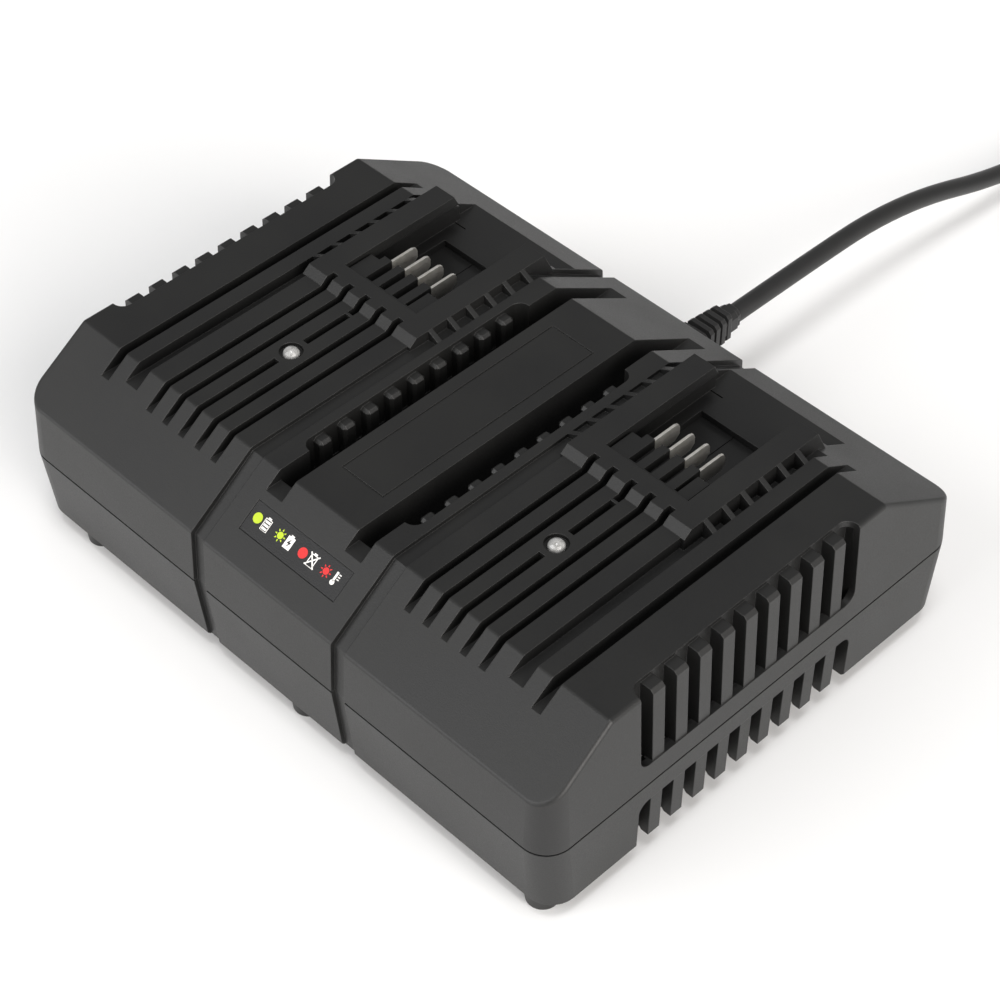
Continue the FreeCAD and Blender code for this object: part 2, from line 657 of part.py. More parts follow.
# Openings in the top
cuts = []
lip_under_z = block_top_z - lip_thickness
beyond = half_depth + 6
for side, bay in (("left", -bay_x), ("right", bay_x)):
    cuts.append(box(side + "_well", (bay - well_half, bay + well_half),
                    (well_front_y, beyond), (well_floor_z, form_top_z)))
    cuts.append(box(side + "_channel", (bay - channel_half, bay + channel_half),
                    (well_front_y, beyond), (well_floor_z, lip_under_z)))
    cuts.append(box(side + "_channel_mouth", (bay - channel_mouth_half, bay + channel_mouth_half),
                    (channel_mouth_y, beyond), (well_floor_z, lip_under_z)))
    cuts.append(box(side + "_terminal_opening",
                    (bay - terminal_opening_half, bay + terminal_opening_half),
                    (well_front_y, terminal_opening_rear), (well_floor_z - well_floor_wall - 2, well_floor_z + 1)))
    for edge, start in (("a", -channel_half), ("b", channel_half - 5.2)):
        cuts.append(box(f"{side}_floor_slit_{edge}", (bay + start, bay + start + 5.2),
                        (66.0, 66.5), (well_floor_z - 1, well_floor_z + 1)))
    for number in range(-2, 3):
        middle = bay + slot_pitch * number
        spans = [(-half_depth, slot_end_y)]
        if number == 0:
            spans = [(-half_depth, lens_y - lens_gap), (lens_y + lens_gap, slot_end_y - 9.2),
                     (slot_end_y - 8.2, slot_end_y)]
        for part, span in enumerate(spans):
            cuts.append(box(f"{side}_slot_{number + 3}_{part}", (middle - slot_width / 2, middle + slot_width / 2),
                            span, (top_z - slot_depth, form_top_z)))
    cuts.append(cylinder(side + "_lens_recess", bay, lens_y, (top_z - lens_recess_depth, form_top_z),
                         lens_recess_radius))
    cuts.append(post(side + "_lens_hole", bay, lens_y, (parting_z, form_top_z), lens_radius + fit_gap))


def recess_outline(name, low_x, high_x, low_z, high_z):
    """A finned recess: a block whose upright outer corners are rounded."""
    owner = bar_along_z(name, low_z, high_z, [
        (low_x, recess_front_y), (high_x, recess_front_y), (high_x, recess_rear_y), (low_x, recess_rear_y)])
    doc.recompute()
    bar = owner.Tip
    upright = edges_where(bar.Shape, lambda edge, middle: abs(middle.z - (low_z.value + high_z.value) / 2) < 0.01
                          and abs(middle.x - high_x.value) < 0.01)
    rounded(owner, name + "_corners", "Fillet", bar, "Radius", recess_corner, upright)
    return owner


trench = bar_along_x("trench", trench_in, trench_out, [
    (front_ridge_y, trench_floor_z),
    (half_depth + 10, trench_floor_z),
    (half_depth + 10, form_top_z),
    (-half_depth - 10, form_top_z),
    (-half_depth - 10, top_z - trench_ledge_depth),
    (front_ridge_y, top_z - trench_ledge_depth),
])
cuts += both_sides("trench", trench)
cuts += both_sides("trench_recess", recess_outline(
    "trench_recess", trench_out - 1, trench_recess_out, trench_floor_z, form_top_z))


def grille_cut(name, low_z, high_z, inner_x):
    """The cut for one end grille, with its upright edges inside the case and rounded lower corners."""
    owner = new_body(name)
    outline = new_sketch(owner, name + "_outline", "YZ_Plane", inner_x)
    add_polygon(outline, [
        (recess_front_y, low_z), (recess_rear_y, low_z), (recess_rear_y, high_z), (recess_front_y, high_z)])
    return owner, pad(owner, name + "_bar", outline, half_length - inner_x + 5)


upper_grille, grille_bar = grille_cut("upper_grille", grille_floor_z, form_top_z, grille_lip_x)
doc.recompute()
lower_corners = edges_where(
    grille_bar.Shape, lambda edge, middle: abs(middle.z - grille_floor_z.value) < 0.01 and edge.Length < 20)
top_corners = edges_where(
    grille_bar.Shape, lambda edge, middle: abs(middle.x - grille_lip_x.value) < 0.01 and abs(edge.tangentAt(0).z) > 0.9)
rounded(upper_grille, "upper_grille_corners", "Fillet", grille_bar, "Radius", recess_corner,
        lower_corners + top_corners)
cuts += both_sides("upper_grille", upper_grille)

slope_angle_formula = f"atan(({top_z.formula} - {front_edge_z.formula}) / ({half_depth.formula} - " \
                      f"({front_edge_z.formula} - {parting_z.formula}) * {upper_draft.formula} + {front_ridge_y.formula}))"
front_lip_y = -(half_depth - (front_edge_z - parting_z) * upper_draft)


def on_front_slope(name, length, width, low, high):
    """A flat block that lies in the plane of the front slope, from low to high off its surface."""
    made = doc.addObject("Part::Box", name)
    low, high = as_size(low), as_size(high)
    made.setExpression("Length", as_size(length).formula)
    made.setExpression("Width", as_size(width).formula)
    made.setExpression("Height", (high - low).formula)
    made.Placement.Rotation = FreeCAD.Rotation(FreeCAD.Vector(1, 0, 0), 30)
    made.setExpression("Placement.Rotation.Angle", slope_angle_formula)
    start = (legend_along - as_size(width) / 2).formula
    made.setExpression("Placement.Base.x", (-(as_size(length) / 2)).formula)
    made.setExpression("Placement.Base.y", f"{front_lip_y.formula} + {start} * cos({slope_angle_formula})"
                                           f" - {low.formula} * sin({slope_angle_formula})")
    made.setExpression("Placement.Base.z", f"{front_edge_z.formula} + {start} * sin({slope_angle_formula})"
                                           f" + {low.formula} * cos({slope_angle_formula})")
    return made


cuts.append(on_front_slope("legend_window", legend_length + fit_gap * 2, legend_width + fit_gap * 2,
                           -legend_recess, 3))

frame_half_x = trench_in - 4.8
frame_front_y = fin_centre_y - 45
frame_rear_y = fin_centre_y + 46.8
for edge, inset in (("outer", 0.0), ("inner", 0.55)):
    if edge == "outer":
        frame_outer = box("badge_frame_outer", (-frame_half_x, frame_half_x), (frame_front_y, frame_rear_y),
                          (top_z - 0.4, form_top_z))
    else:
        frame_inner = box("badge_frame_inner", (-(frame_half_x - inset), frame_half_x - inset),
                          (frame_front_y + inset, frame_rear_y - inset), (top_z - 1, form_top_z + 1))
cuts.append(less("badge_frame", frame_outer, [frame_inner]))

outlet_half_x = boot_width / 2 - 1.2
outlet_half_z = boot_height / 2 - 1.2
outlet_y = (half_depth - wall * 2, half_depth + 2)
cuts.append(box("upper_outlet", (-outlet_half_x, outlet_half_x), outlet_y, (parting_z - 1, outlet_z + outlet_half_z)))
upper_open = less("upper_open", upper_raised, cuts)

# Fins in the trenches and in both ends
fin_first_y = fin_centre_y - fin_pitch * (fin_count - 1) / 2
fin_top_z = top_z - fin_drop
trench_fins = fin_row(
    "trench_fins", (trench_recess_out - 0.2, trench_recess_out + 1), (trench_floor_z + 0.5, trench_floor_z + 3),
    [(trench_out + 0.4, trench_floor_z - 0.5), (trench_recess_out + 0.6, trench_floor_z - 0.5),
     (trench_recess_out + 0.6, fin_top_z), (trench_out + 0.4, fin_top_z)],
    trench_fin_thickness, fin_first_y, fin_pitch, fin_count, Size(0.5, "0.5"),
    ("Chamfer", "Size", Size(1, "1"),
     lambda edge, middle: (abs(middle.z - fin_top_z.value) < 0.01 and middle.x < trench_recess_out.value + 0.3)
     or (abs(middle.x - trench_out.value - 0.4) < 0.01 and abs(edge.tangentAt(0).z) > 0.9)))


def wall_x(height):
    """The outer face of an end wall at some height of the upper shell."""
    return half_length - (as_size(height) - parting_z) * upper_draft


end_fins = fin_row(
    "end_fins", (wall_x(parting_z) - wall - 1.5, wall_x(parting_z) - 1.2), (grille_floor_z - 2.6, grille_floor_z - 0.2),
    [(wall_x(grille_floor_z) - end_fin_depth, grille_floor_z - 1), (wall_x(grille_floor_z) - 0.3, grille_floor_z - 1),
     (wall_x(fin_top_z) - 0.2, fin_top_z), (grille_lip_x - 2.5, fin_top_z)],
    end_fin_thickness, fin_first_y, fin_pitch, fin_count, Size(0.5, "0.5"),
    ("Chamfer", "Size", Size(1.2, "1.2"),
     lambda edge, middle: abs(middle.z - fin_top_z.value) < 0.01 and middle.x > wall_x(fin_top_z).value - 0.6))

screw_x = half_length - screw_inset_x
screw_y = half_depth - screw_inset_y
boss_places = [(x * screw_x, y * screw_y) for x in (-1, 0, 1) for y in (-1, 1)]
front_boss_z = slope_height(-(screw_y + boss_radius), front_ridge_y, front_edge_z, -1) - wall * 0.9
rear_boss_z = slope_height(screw_y + boss_radius, rear_ridge_y, rear_edge_z, 1) - wall * 0.9
upper_bosses = []
for number, (x, y) in enumerate(boss_places, 1):
    boss_top = front_boss_z if y.value < 0 else rear_boss_z
    upper_bosses.append(post(f"upper_boss_{number}", x, y, (parting_z + seam_fit, boss_top), boss_radius))
upper_filled = joined("upper_filled", [upper_open] + both_sides("trench_fins", trench_fins)
                      + both_sides("end_fins", end_fins) + upper_bosses)
pilots = []
for number, (x, y) in enumerate(boss_places, 1):
    pilots.append(post(f"upper_pilot_{number}", x, y,
                           (parting_z - 1, screw_seat_z + screw_length + 1), screw_radius + 0.1))
upper_housing = less("upper_housing", upper_filled, pilots)

# Lower housing

lower_outer = lower_form("lower_outer", nothing, foot_height, parting_z - seam_fit, bottom_edge, seam_chamfer)
lower_cavity = lower_form("lower_cavity", wall, foot_height + wall, parting_z + 2, nothing, nothing)
lower_cheeks = []
for name, span in (("front", (recess_front_y - wall, recess_front_y)), ("rear", (recess_rear_y, recess_rear_y + wall))):
    cheek = box("lower_cheek_" + name, (half_length - lower_grille_depth - wall, half_length), span,
                (foot_height, lower_grille_top_z + wall))
    lower_cheeks += both_sides("lower_cheek_" + name, cheek)
lower_shell = less("lower_shell", lower_outer, [less("lower_cavity_trimmed", lower_cavity, lower_cheeks)])

board_seat_places = [(x * board_seat_x, y * board_seat_y) for x in (-1, 1) for y in (-1, 1)]
board_seats = [post(f"board_seat_{number}", x, y, (foot_height + wall - 0.5, board_z), 3.5)
               for number, (x, y) in enumerate(board_seat_places, 1)]
lower_bosses = [post(f"lower_boss_{number}", x, y, (foot_height + 1, parting_z - seam_fit), boss_radius)
                for number, (x, y) in enumerate(boss_places, 1)]
lower_filled = joined("lower_filled", [lower_shell] + board_seats + lower_bosses)

lower_cuts = list(belts)
lower_grille, lower_grille_bar = grille_cut(
    "lower_grille", foot_height - 3, lower_grille_top_z, half_length - lower_grille_depth)
doc.recompute()
lower_grille_corners = edges_where(
    lower_grille_bar.Shape, lambda edge, middle: abs(middle.z - lower_grille_top_z.value) < 0.01 and edge.Length < 20)
rounded(lower_grille, "lower_grille_corners", "Fillet", lower_grille_bar, "Radius", recess_corner,
        lower_grille_corners)
lower_cuts += both_sides("lower_grille", lower_grille)
lower_cuts.append(box("lower_outlet", (-outlet_half_x, outlet_half_x), outlet_y,
                      (outlet_z - outlet_half_z, parting_z + 1)))
for number, (x, y) in enumerate(boss_places, 1):
    lower_cuts.append(post(f"screw_hole_{number}", x, y, (foot_height - 1, parting_z + 1), screw_radius + 0.3))
    lower_cuts.append(post(f"screw_well_{number}", x, y, (foot_height - 1, screw_seat_z),
                               screw_head_radius + 0.4))
foot_x = half_length - foot_inset_x
foot_y = half_depth - foot_inset_y
foot_places = [(foot_shift + x * foot_x, y * foot_y) for x in (-1, 0, 1) for y in (-1, 1)]
for number, (x, y) in enumerate(foot_places, 1):
    lower_cuts.append(cylinder(f"foot_seat_{number}", x, y, (foot_height - 1, foot_height + foot_seat),
                               foot_radius + fit_gap))
for number, (x, y) in enumerate(board_seat_places, 1):
    lower_cuts.append(post(f"board_pilot_{number}", x, y, (board_z - 5.5, board_z + 1),
                               board_screw_radius + 0.05))
vent_in = board_length / 2 + 2
for side in (-1, 1):
    for row in (-1, 1):
        for number in range(4):
            y = row * (18 + fin_pitch * number)
            x = side * (vent_in + 8)
            name = f"floor_vent_{side + 2}{row + 2}{number}"
            lower_cuts.append(box(name, (x - 8, x + 8), (y - 2, y + 2), (foot_height - 1, foot_height + wall + 1)))
lower_open = less("lower_open", lower_filled, lower_cuts)

lower_end_fins = fin_row(
    "lower_end_fins", (half_length - wall - 1.5, half_length - 1.4), (lower_grille_top_z + 0.2, lower_grille_top_z + 2.5),
    [(half_length - end_fin_depth, end_fin_foot_z + 4.5), (half_length - 3.4, end_fin_foot_z),
     (half_length - bottom_inset_x - 0.3, end_fin_foot_z), (half_length - 0.4, lower_grille_top_z + 1),
     (half_length - end_fin_depth, lower_grille_top_z + 1)],
    end_fin_thickness, fin_first_y, fin_pitch, fin_count, Size(0.5, "0.5"))
lower_housing = joined("lower_housing", [lower_open] + both_sides("lower_end_fins", lower_end_fins))

# Terminal blocks and their blades

blade_bottom_z = blade_top_z - blade_height
blade_root_y = comb_rear_y - 9
carrier_top_z = well_floor_z - well_floor_wall - fit_gap / 2
tooth_starts = [-5.7, 0.3, 6.5]
deck_z = board_z + board_thickness


def blade_offset(number):
    return blade_pitch * (number - 1.5)


def terminal_pieces(side, bay):
    """The moulded comb, the carrier that it stands on, and the four blades that pass through both."""
    low_u, high_u = bay - comb_half, bay + comb_half
    front_y = well_front_y + fit_gap
    comb = bar_along_x(side + "_comb", low_u, high_u, [
        (front_y, carrier_top_z), (comb_rear_y + 4, carrier_top_z), (comb_rear_y + 4, carrier_top_z + 6),
        (comb_rear_y, carrier_top_z + 6), (comb_rear_y, comb_top_z),
        (front_y + 0.8, comb_top_z), (front_y, comb_top_z - 0.8)])
    gaps = []
    tail_slots = []
    for number in range(4):
        middle = bay + blade_offset(number)
        spread = blade_thickness / 2 + 0.05
        gap_end = tooth_starts[number] if number < 3 else blade_offset(3) + 2
        gaps.append(box(f"{side}_comb_gap_{number}", (middle + spread + 0.1, bay + gap_end),
                        (front_y + 1.4, comb_rear_y + 1), (comb_top_z - comb_gap_depth, comb_top_z + 1)))
        gaps.append(box(f"{side}_blade_slot_{number}", (middle - spread, middle + spread),
                        (blade_root_y - 0.05, comb_rear_y + 1), (blade_bottom_z - 0.05, blade_top_z + 0.05)))
        tail_slots.append(box(f"{side}_tail_slot_{number}", (middle - spread, middle + spread),
                              (blade_root_y - 0.05, blade_root_y + blade_tail + 0.05), (deck_z, blade_bottom_z + 1)))
    for shoulder, (low, high) in (("a", (-comb_half - 1, blade_offset(0) - 2.8)),
                                  ("b", (blade_offset(3) + 2, comb_half + 1))):
        gaps.append(box(f"{side}_shoulder_{shoulder}", (bay + low, bay + high),
                        (comb_rear_y - 2.5, comb_rear_y + 5), (carrier_top_z + 0.01, comb_top_z + 1)))
    block = less(side + "_terminal_block", comb, gaps + tail_slots)

    plate = box(side + "_carrier_plate", (bay - terminal_opening_half - 3, bay + terminal_opening_half + 3),
                (well_front_y - 1, terminal_opening_rear + 3), (carrier_top_z - carrier_thickness, carrier_top_z))
    legs = []
    for column, u in (("a", -(comb_half - leg_size / 2)), ("b", comb_half - leg_size / 2)):
        for row, y in (("front", well_front_y + 4), ("rear", terminal_opening_rear - 5)):
            legs.append(box(f"{side}_leg_{row}_{column}", (bay + u - leg_size / 2, bay + u + leg_size / 2),
                            (y - leg_size / 2, y + leg_size / 2), (deck_z, carrier_top_z - 1)))
    seams = [box(f"{side}_seam_{seam}", (bay + offset - 0.15, bay + offset + 0.15),
                 (comb_rear_y + 4, terminal_opening_rear), (carrier_top_z - 0.5, carrier_top_z + 1))
             for seam, offset in (("a", -4.1), ("b", 9.6))]
    carrier = less(side + "_terminal_carrier", joined(side + "_carrier_blank", [plate] + legs), seams + tail_slots)

    blades = []
    for number in range(4):
        middle = bay + blade_offset(number)
        tip = Size(2, "2")
        blades.append(bar_along_x(f"{side}_blade_{number}", middle - blade_thickness / 2, middle + blade_thickness / 2, [
            (blade_root_y, deck_z), (blade_root_y + blade_tail, deck_z), (blade_root_y + blade_tail, blade_bottom_z),
            (blade_tip_y - tip, blade_bottom_z), (blade_tip_y, blade_bottom_z + tip),
            (blade_tip_y, blade_top_z - tip), (blade_tip_y - tip * 0.3, blade_top_z - tip * 0.3),
            (blade_tip_y - tip, blade_top_z), (blade_root_y, blade_top_z)]))
    return block, carrier, blades


left_terminal_block, left_carrier, left_blades = terminal_pieces("left", -bay_x)
right_terminal_block, right_carrier, right_blades = terminal_pieces("right", bay_x)


# Indicator lenses and lamps

dome_angles = [math.radians(angle) for angle in (0, 40, 75)]
dome_steps = [(math.sin(low), math.cos(low), math.sin(high), math.cos(high))
              for low, high in zip(dome_angles, dome_angles[1:])]


def lens_pieces(side, bay):
    """A domed light pipe with a collar under the platform, and the lamp below it."""
    seat_z = top_z - lens_recess_depth
    under_z = top_z - slot_depth - backing
    dome = [cone(f"{side}_dome_{number}", bay, lens_y,
                 (seat_z + lens_radius * low_rise, seat_z + lens_radius * high_rise),
                 lens_radius * low_share, lens_radius * high_share)
            for number, (low_rise, low_share, high_rise, high_share) in enumerate(dome_steps)]
    stem = post(side + "_lens_stem", bay, lens_y, (under_z - 2, seat_z), lens_radius)
    collar = post(side + "_lens_collar", bay, lens_y, (under_z - 2, under_z - 0.05), lens_radius + 1.6)
    lens = joined(side + "_status_lens", dome + [stem, collar])
    lamp_top = under_z - 2.3
    lamp = joined(side + "_lamp", [
        cylinder(side + "_lamp_bulb", bay, lens_y, (lamp_top - 6, lamp_top), 2.4),
        post(side + "_lamp_post", bay, lens_y, (board_z + board_thickness, lamp_top - 5.5), 3.0)])
    return lens, lamp


left_lens, left_lamp = lens_pieces("left", -bay_x)
right_lens, right_lamp = lens_pieces("right", bay_x)

legend = on_front_slope("legend_plate", legend_length, legend_width, -legend_recess, legend_thickness - legend_recess)

# Electronics on the circuit board

board_blank = box("board_blank", (-(board_length / 2), board_length / 2),
                  (-(board_depth / 2), board_depth / 2), (board_z, deck_z))
board_holes = [post(f"board_hole_{number}", x, y, (board_z - 1, deck_z + 1), board_screw_radius + 0.2)
               for number, (x, y) in enumerate(board_seat_places, 1)]
board = less("board", board_blank, board_holes)
core_shell = box("core_shell", (-26, 14), (-22, 14), (deck_z, deck_z + 30))
core_window = box("core_window", (-18, 6), (-23, 15), (deck_z + 6, deck_z + 24))
core_limb = box("core_limb", (-11, -1), (-22, 14), (deck_z + 5, deck_z + 25))
transformer_core = joined("transformer_core_solid", [less("core_ring", core_shell, [core_window]), core_limb])
winding_outer = box("winding_outer", (-17.8, 5.8), (-29, 21), (deck_z + 6.2, deck_z + 23.8))
winding_bore = box("winding_bore", (-11.2, -0.8), (-22.2, 14.2), (deck_z + 5, deck_z + 25))
transformer_winding = less("transformer_winding_solid", winding_outer, [winding_bore])
choke = less("choke_solid", cylinder("choke_ring", 40, 30, (deck_z, deck_z + 14), 11),
             [cylinder("choke_bore", 40, 30, (deck_z - 1, deck_z + 15), 4.5)])
capacitors = [
    cylinder("capacitor_1", -37, 31, (deck_z, deck_z + 25), 9),
    cylinder("capacitor_2", -38, 2, (deck_z, deck_z + 20), 6.5),
    cylinder("capacitor_3", 30, -34, (deck_z, deck_z + 20), 5),
]
heat_sink_fins = [box(f"heat_sink_fin_{number}", (44.5, 56), (-38 + 8 * number, -36 + 8 * number), (deck_z, deck_z + 26))
                  for number in range(6)]
heat_sink = joined("heat_sink_solid", [box("heat_sink_plate", (42, 45), (-38, 4), (deck_z, deck_z + 26))] + heat_sink_fins)
transistors = [box(f"transistor_{number}", (37.4, 42), (y, y + 10), (deck_z + 3, deck_z + 18))
               for number, y in enumerate((-32, -12), 1)]
fuse = cylinder("fuse_tube", 20, 40, (deck_z, deck_z + 14), 4)

# Fasteners and feet

screws = []
for number, (x, y) in enumerate(boss_places, 1):
    head = post(f"screw_head_{number}", x, y, (screw_seat_z - 2.4, screw_seat_z), screw_head_radius)
    shank = post(f"screw_shank_{number}", x, y, (screw_seat_z - 0.5, screw_seat_z + screw_length), screw_radius)
    cross = [box(f"screw_cross_{number}_{axis}", (x - along, x + along), (y - across, y + across),
                 (screw_seat_z - 3, screw_seat_z - 1.2))
             for axis, along, across in (("a", 1.7, 0.4), ("b", 0.4, 1.7))]
    screws.append(less(f"screw_{number}", joined(f"screw_blank_{number}", [head, shank]), cross))

board_screws = []
for number, (x, y) in enumerate(board_seat_places, 1):
    head = post(f"board_screw_head_{number}", x, y, (deck_z, deck_z + 2), 2.8)
    shank = post(f"board_screw_shank_{number}", x, y, (board_z - 5, deck_z + 0.5), board_screw_radius)
    board_screws.append(joined(f"board_screw_{number}", [head, shank]))

feet = [cone(f"foot_{number}", x, y, (0, foot_height + foot_seat), foot_radius - 0.7, foot_radius)
        for number, (x, y) in enumerate(foot_places, 1)]

# Strain relief at the rear

boot_start = half_depth - 0.25
rib_step = 3.4


def boot_section(name, start, end, half_x, half_z, corner):
    owner = new_body(name)
    outline = new_sketch(owner, name + "_outline", "XZ_Plane", -as_size(end))
    add_polygon(outline, [
        (-(half_x - corner), outlet_z - half_z), (half_x - corner, outlet_z - half_z),
        (half_x, outlet_z - half_z + corner), (half_x, outlet_z + half_z - corner),
        (half_x - corner, outlet_z + half_z), (-(half_x - corner), outlet_z + half_z),
        (-half_x, outlet_z + half_z - corner), (-half_x, outlet_z - half_z + corner)])
    pad(owner, name + "_bar", outline, as_size(end) - start)
    return owner


half_w, half_h = boot_width / 2, boot_height / 2
boot_parts = [
    boot_section("boot_flange", half_depth - wall * 2.6, half_depth - wall * 1.6, half_w, half_h, 1.5),
    boot_section("boot_neck", half_depth - wall * 2, half_depth + 0.5,
                 outlet_half_x - fit_gap, outlet_half_z - fit_gap, 0.6),
    boot_section("boot_base", boot_start + 0.3, boot_start + 2.8, half_w, half_h, 1.2),
    boot_section("boot_spine", boot_start + 1, boot_start + boot_length - 3, half_w - 2.6, half_h - 1.8, 1.6),
    boot_section("boot_block", boot_start + 5.2, boot_start + 9.4, half_w - 0.6, half_h - 0.3, 1.2),
    boot_section("boot_collar", boot_start + boot_length - 7.5, boot_start + boot_length - 1.4,
                 half_w - 3.1, half_h - 1.8, 1.8),
]
for number in range(4):
    start = boot_start + 11.2 + rib_step * number
    shrink = 1.3 + 0.35 * number
    boot_parts.append(boot_section(f"boot_rib_{number}", start, start + 1.9, half_w - shrink, half_h - 0.2, 1.2))
boot_bore = doc.addObject("Part::Cylinder", "boot_bore")
boot_bore.setExpression("Radius", (cord_diameter / 2 + 0.05).formula)
boot_bore.setExpression("Height", (boot_length + 30).formula)
boot_bore.Placement.Rotation = FreeCAD.Rotation(FreeCAD.Vector(1, 0, 0), -90)
boot_bore.setExpression("Placement.Base.y", (half_depth - 20).formula)
boot_bore.setExpression("Placement.Base.z", outlet_z.formula)
strain_relief = less("strain_relief", joined("boot_blank", boot_parts), [boot_bore])

# Mains cord: its free stretch as straight runs joined by arcs

cord_height = cord_diameter / 2 + 0.05
cord_route = [
    (0, half_depth - 8, outlet_z),
    (0, 150, outlet_z),
    (0, 215, 28.5),
    (4, 276, 9.5),
    (coil_entry_x, 333, cord_height),
    (coil_entry_x, coil_entry_y, cord_height),
]


def vector(x, y, z):
    return FreeCAD.Vector(as_size(x).value, as_size(y).value, as_size(z).value)


def tube_along(name, edges, start, heading, radius):
    """A six-sided tube, flat side down, along a chain of tangent edges."""
    made = doc.addObject("Part::Feature", name)
    path = Part.Wire(edges)
    across = FreeCAD.Vector(0, 0, 1).cross(heading).normalize()
    upward = heading.cross(across).normalize()
    turns = [math.radians(60 * number) for number in range(6)]
    corners = [start + across * (radius * math.cos(turn)) + upward * (radius * math.sin(turn))
               for turn in turns]
    section = Part.makePolygon(corners + corners[:1])
    made.Shape = path.makePipeShell([section], True, False)
    ideal = Part.Face(section).Area * path.Length
    print(f"{name}: length {path.Length:.1f} mm, volume {made.Shape.Volume / ideal:.4f} of section x length")
    return made


def rounded_route(points):
    """Straight runs with an arc at each inner point, as large as the shorter run allows."""
    edges, place = [], points[0]
    for before, corner, after in zip(points, points[1:], points[2:]):
        towards, away = (corner - before), (after - corner)
        half_turn = towards.getAngle(away) / 2
        setback = 0.45 * min(towards.Length, away.Length)
        towards.normalize()
        away.normalize()
        start, end = corner - towards * setback, corner + away * setback
        radius = setback / math.tan(half_turn)
        inward = (away - towards).normalize()
        middle = corner + inward * (radius / math.cos(half_turn) - radius)
        print(f"cord bend radius {radius:.0f} mm, turn {math.degrees(half_turn * 2):.1f} degrees")
        edges += [Part.LineSegment(place, start).toShape(), Part.Arc(start, middle, end).toShape()]
        place = end
    edges.append(Part.LineSegment(place, points[-1]).toShape())
    return edges


route_points = [vector(*point) for point in cord_route]
mains_cord = tube_along("mains_cord_tube", rounded_route(route_points), route_points[0],
                        route_points[1] - route_points[0], cord_diameter.value / 2)

# Mains cord: the put-away coil, wound inwards on the floor and outwards on top of itself

turns_in = 2.75
turns_out = 2.75
turns_total = turns_in + turns_out
climb_turns = 0.5


def coil_point(turn):
    """Place on the coil's centre line after some turns, clockwise from the entry."""
    spacing = coil_spacing.value
    inner = coil_mid_radius.value - spacing * turns_in / 2
    radius = inner + spacing * abs(turn - turns_in)
    outer = inner + spacing * turns_in
    share = min(max((turn - turns_in) / climb_turns + 0.5, 0), 1)
    height = cord_height.value + spacing * share ** 2 * (3 - 2 * share)
    angle = math.pi - 2 * math.pi * turn
    centre_x = coil_entry_x.value + outer
    centre_y = coil_entry_y.value + cord_diameter.value
    return FreeCAD.Vector(centre_x + radius * math.cos(angle), centre_y + radius * math.sin(angle), height)


def coil_heading(turn):
    if turn in (0, turns_total):
        return FreeCAD.Vector(0, 1 if turn == 0 else -1, 0)
    step = 0.001
    return (coil_point(turn + step) - coil_point(turn - step)).normalize()


def biarc(start, start_heading, end, end_heading):
    """Two arcs that join two places with given headings, tangent where they meet."""
    chord = end - start
    both = start_heading + end_heading
    slack = 2 * (1 - start_heading.dot(end_heading))
    lean = chord.dot(both)
    reach = (-lean + math.sqrt(lean ** 2 + slack * chord.dot(chord))) / slack
    joint = (start + end + (start_heading - end_heading) * reach) * 0.5
    arcs = []
    for place, heading, other in ((start, start_heading, joint), (end, -end_heading, joint)):
        across = other - place
        along = across.dot(heading)
        side = (across - heading * along).normalize()
        radius = across.dot(across) / (2 * across.dot(side))
        centre = place + side * radius
        middle = centre + ((place - centre) + (other - centre)).normalize() * radius
        arcs.append((place, middle, other))
    first, second = arcs
    return [Part.Arc(*first).toShape(), Part.Arc(second[2], second[1], second[0]).toShape()]


stops = [number / 2 for number in range(int(turns_total * 2) + 1)]
coil_start = vector(coil_entry_x, coil_entry_y, cord_height)
coil_edges = [Part.LineSegment(coil_start, coil_point(0)).toShape()]
for here, there in zip(stops, stops[1:]):
    coil_edges += biarc(coil_point(here), coil_heading(here), coil_point(there), coil_heading(there))
tail_start = coil_point(turns_total)
tail_end = tail_start - FreeCAD.Vector(0, coil_tail.value, 0)
coil_edges.append(Part.LineSegment(tail_start, tail_end).toShape())
cord_coil = tube_along("cord_coil_tube", coil_edges, coil_start, coil_heading(0), cord_diameter.value / 2)

samples = [point for edge in coil_edges for point in edge.discretize(12)]
nearest = min(a.distanceToPoint(b) for number, a in enumerate(samples) for b in samples[number + 60:]
              if a.distanceToPoint(b) < 12)
print(f"least gap of the coil to itself: {nearest - cord_diameter.value:.2f} mm")

# Mains plug, lying flat where the cord comes down from the coil

plug_x = as_size(tail_end.x)
plug_z = cord_height + coil_spacing
plug_start_y = as_size(tail_end.y)


def loft_along_y(name, sections):
    """A ruled loft through chamfered rectangles given as (y, half width, half height, corner)."""
    owner = new_body(name)
    outlines = []
    for number, (y, half_x, half_z, corner) in enumerate(sections):
        outline = new_sketch(owner, f"{name}_section_{number}", "XZ_Plane", -as_size(y))
        half_x, half_z = as_size(half_x), as_size(half_z)
        add_polygon(outline, [
            (plug_x - half_x + corner, plug_z - half_z), (plug_x + half_x - corner, plug_z - half_z),
            (plug_x + half_x, plug_z - half_z + corner), (plug_x + half_x, plug_z + half_z - corner),
            (plug_x + half_x - corner, plug_z + half_z), (plug_x - half_x + corner, plug_z + half_z),
            (plug_x - half_x, plug_z + half_z - corner), (plug_x - half_x, plug_z - half_z + corner)])
        outlines.append(outline)
    made = owner.newObject("PartDesign::AdditiveLoft", name + "_loft")
    made.Profile = outlines[0]
    made.Sections = outlines[1:]
    made.Ruled = True
    owner.Tip = made
    return owner


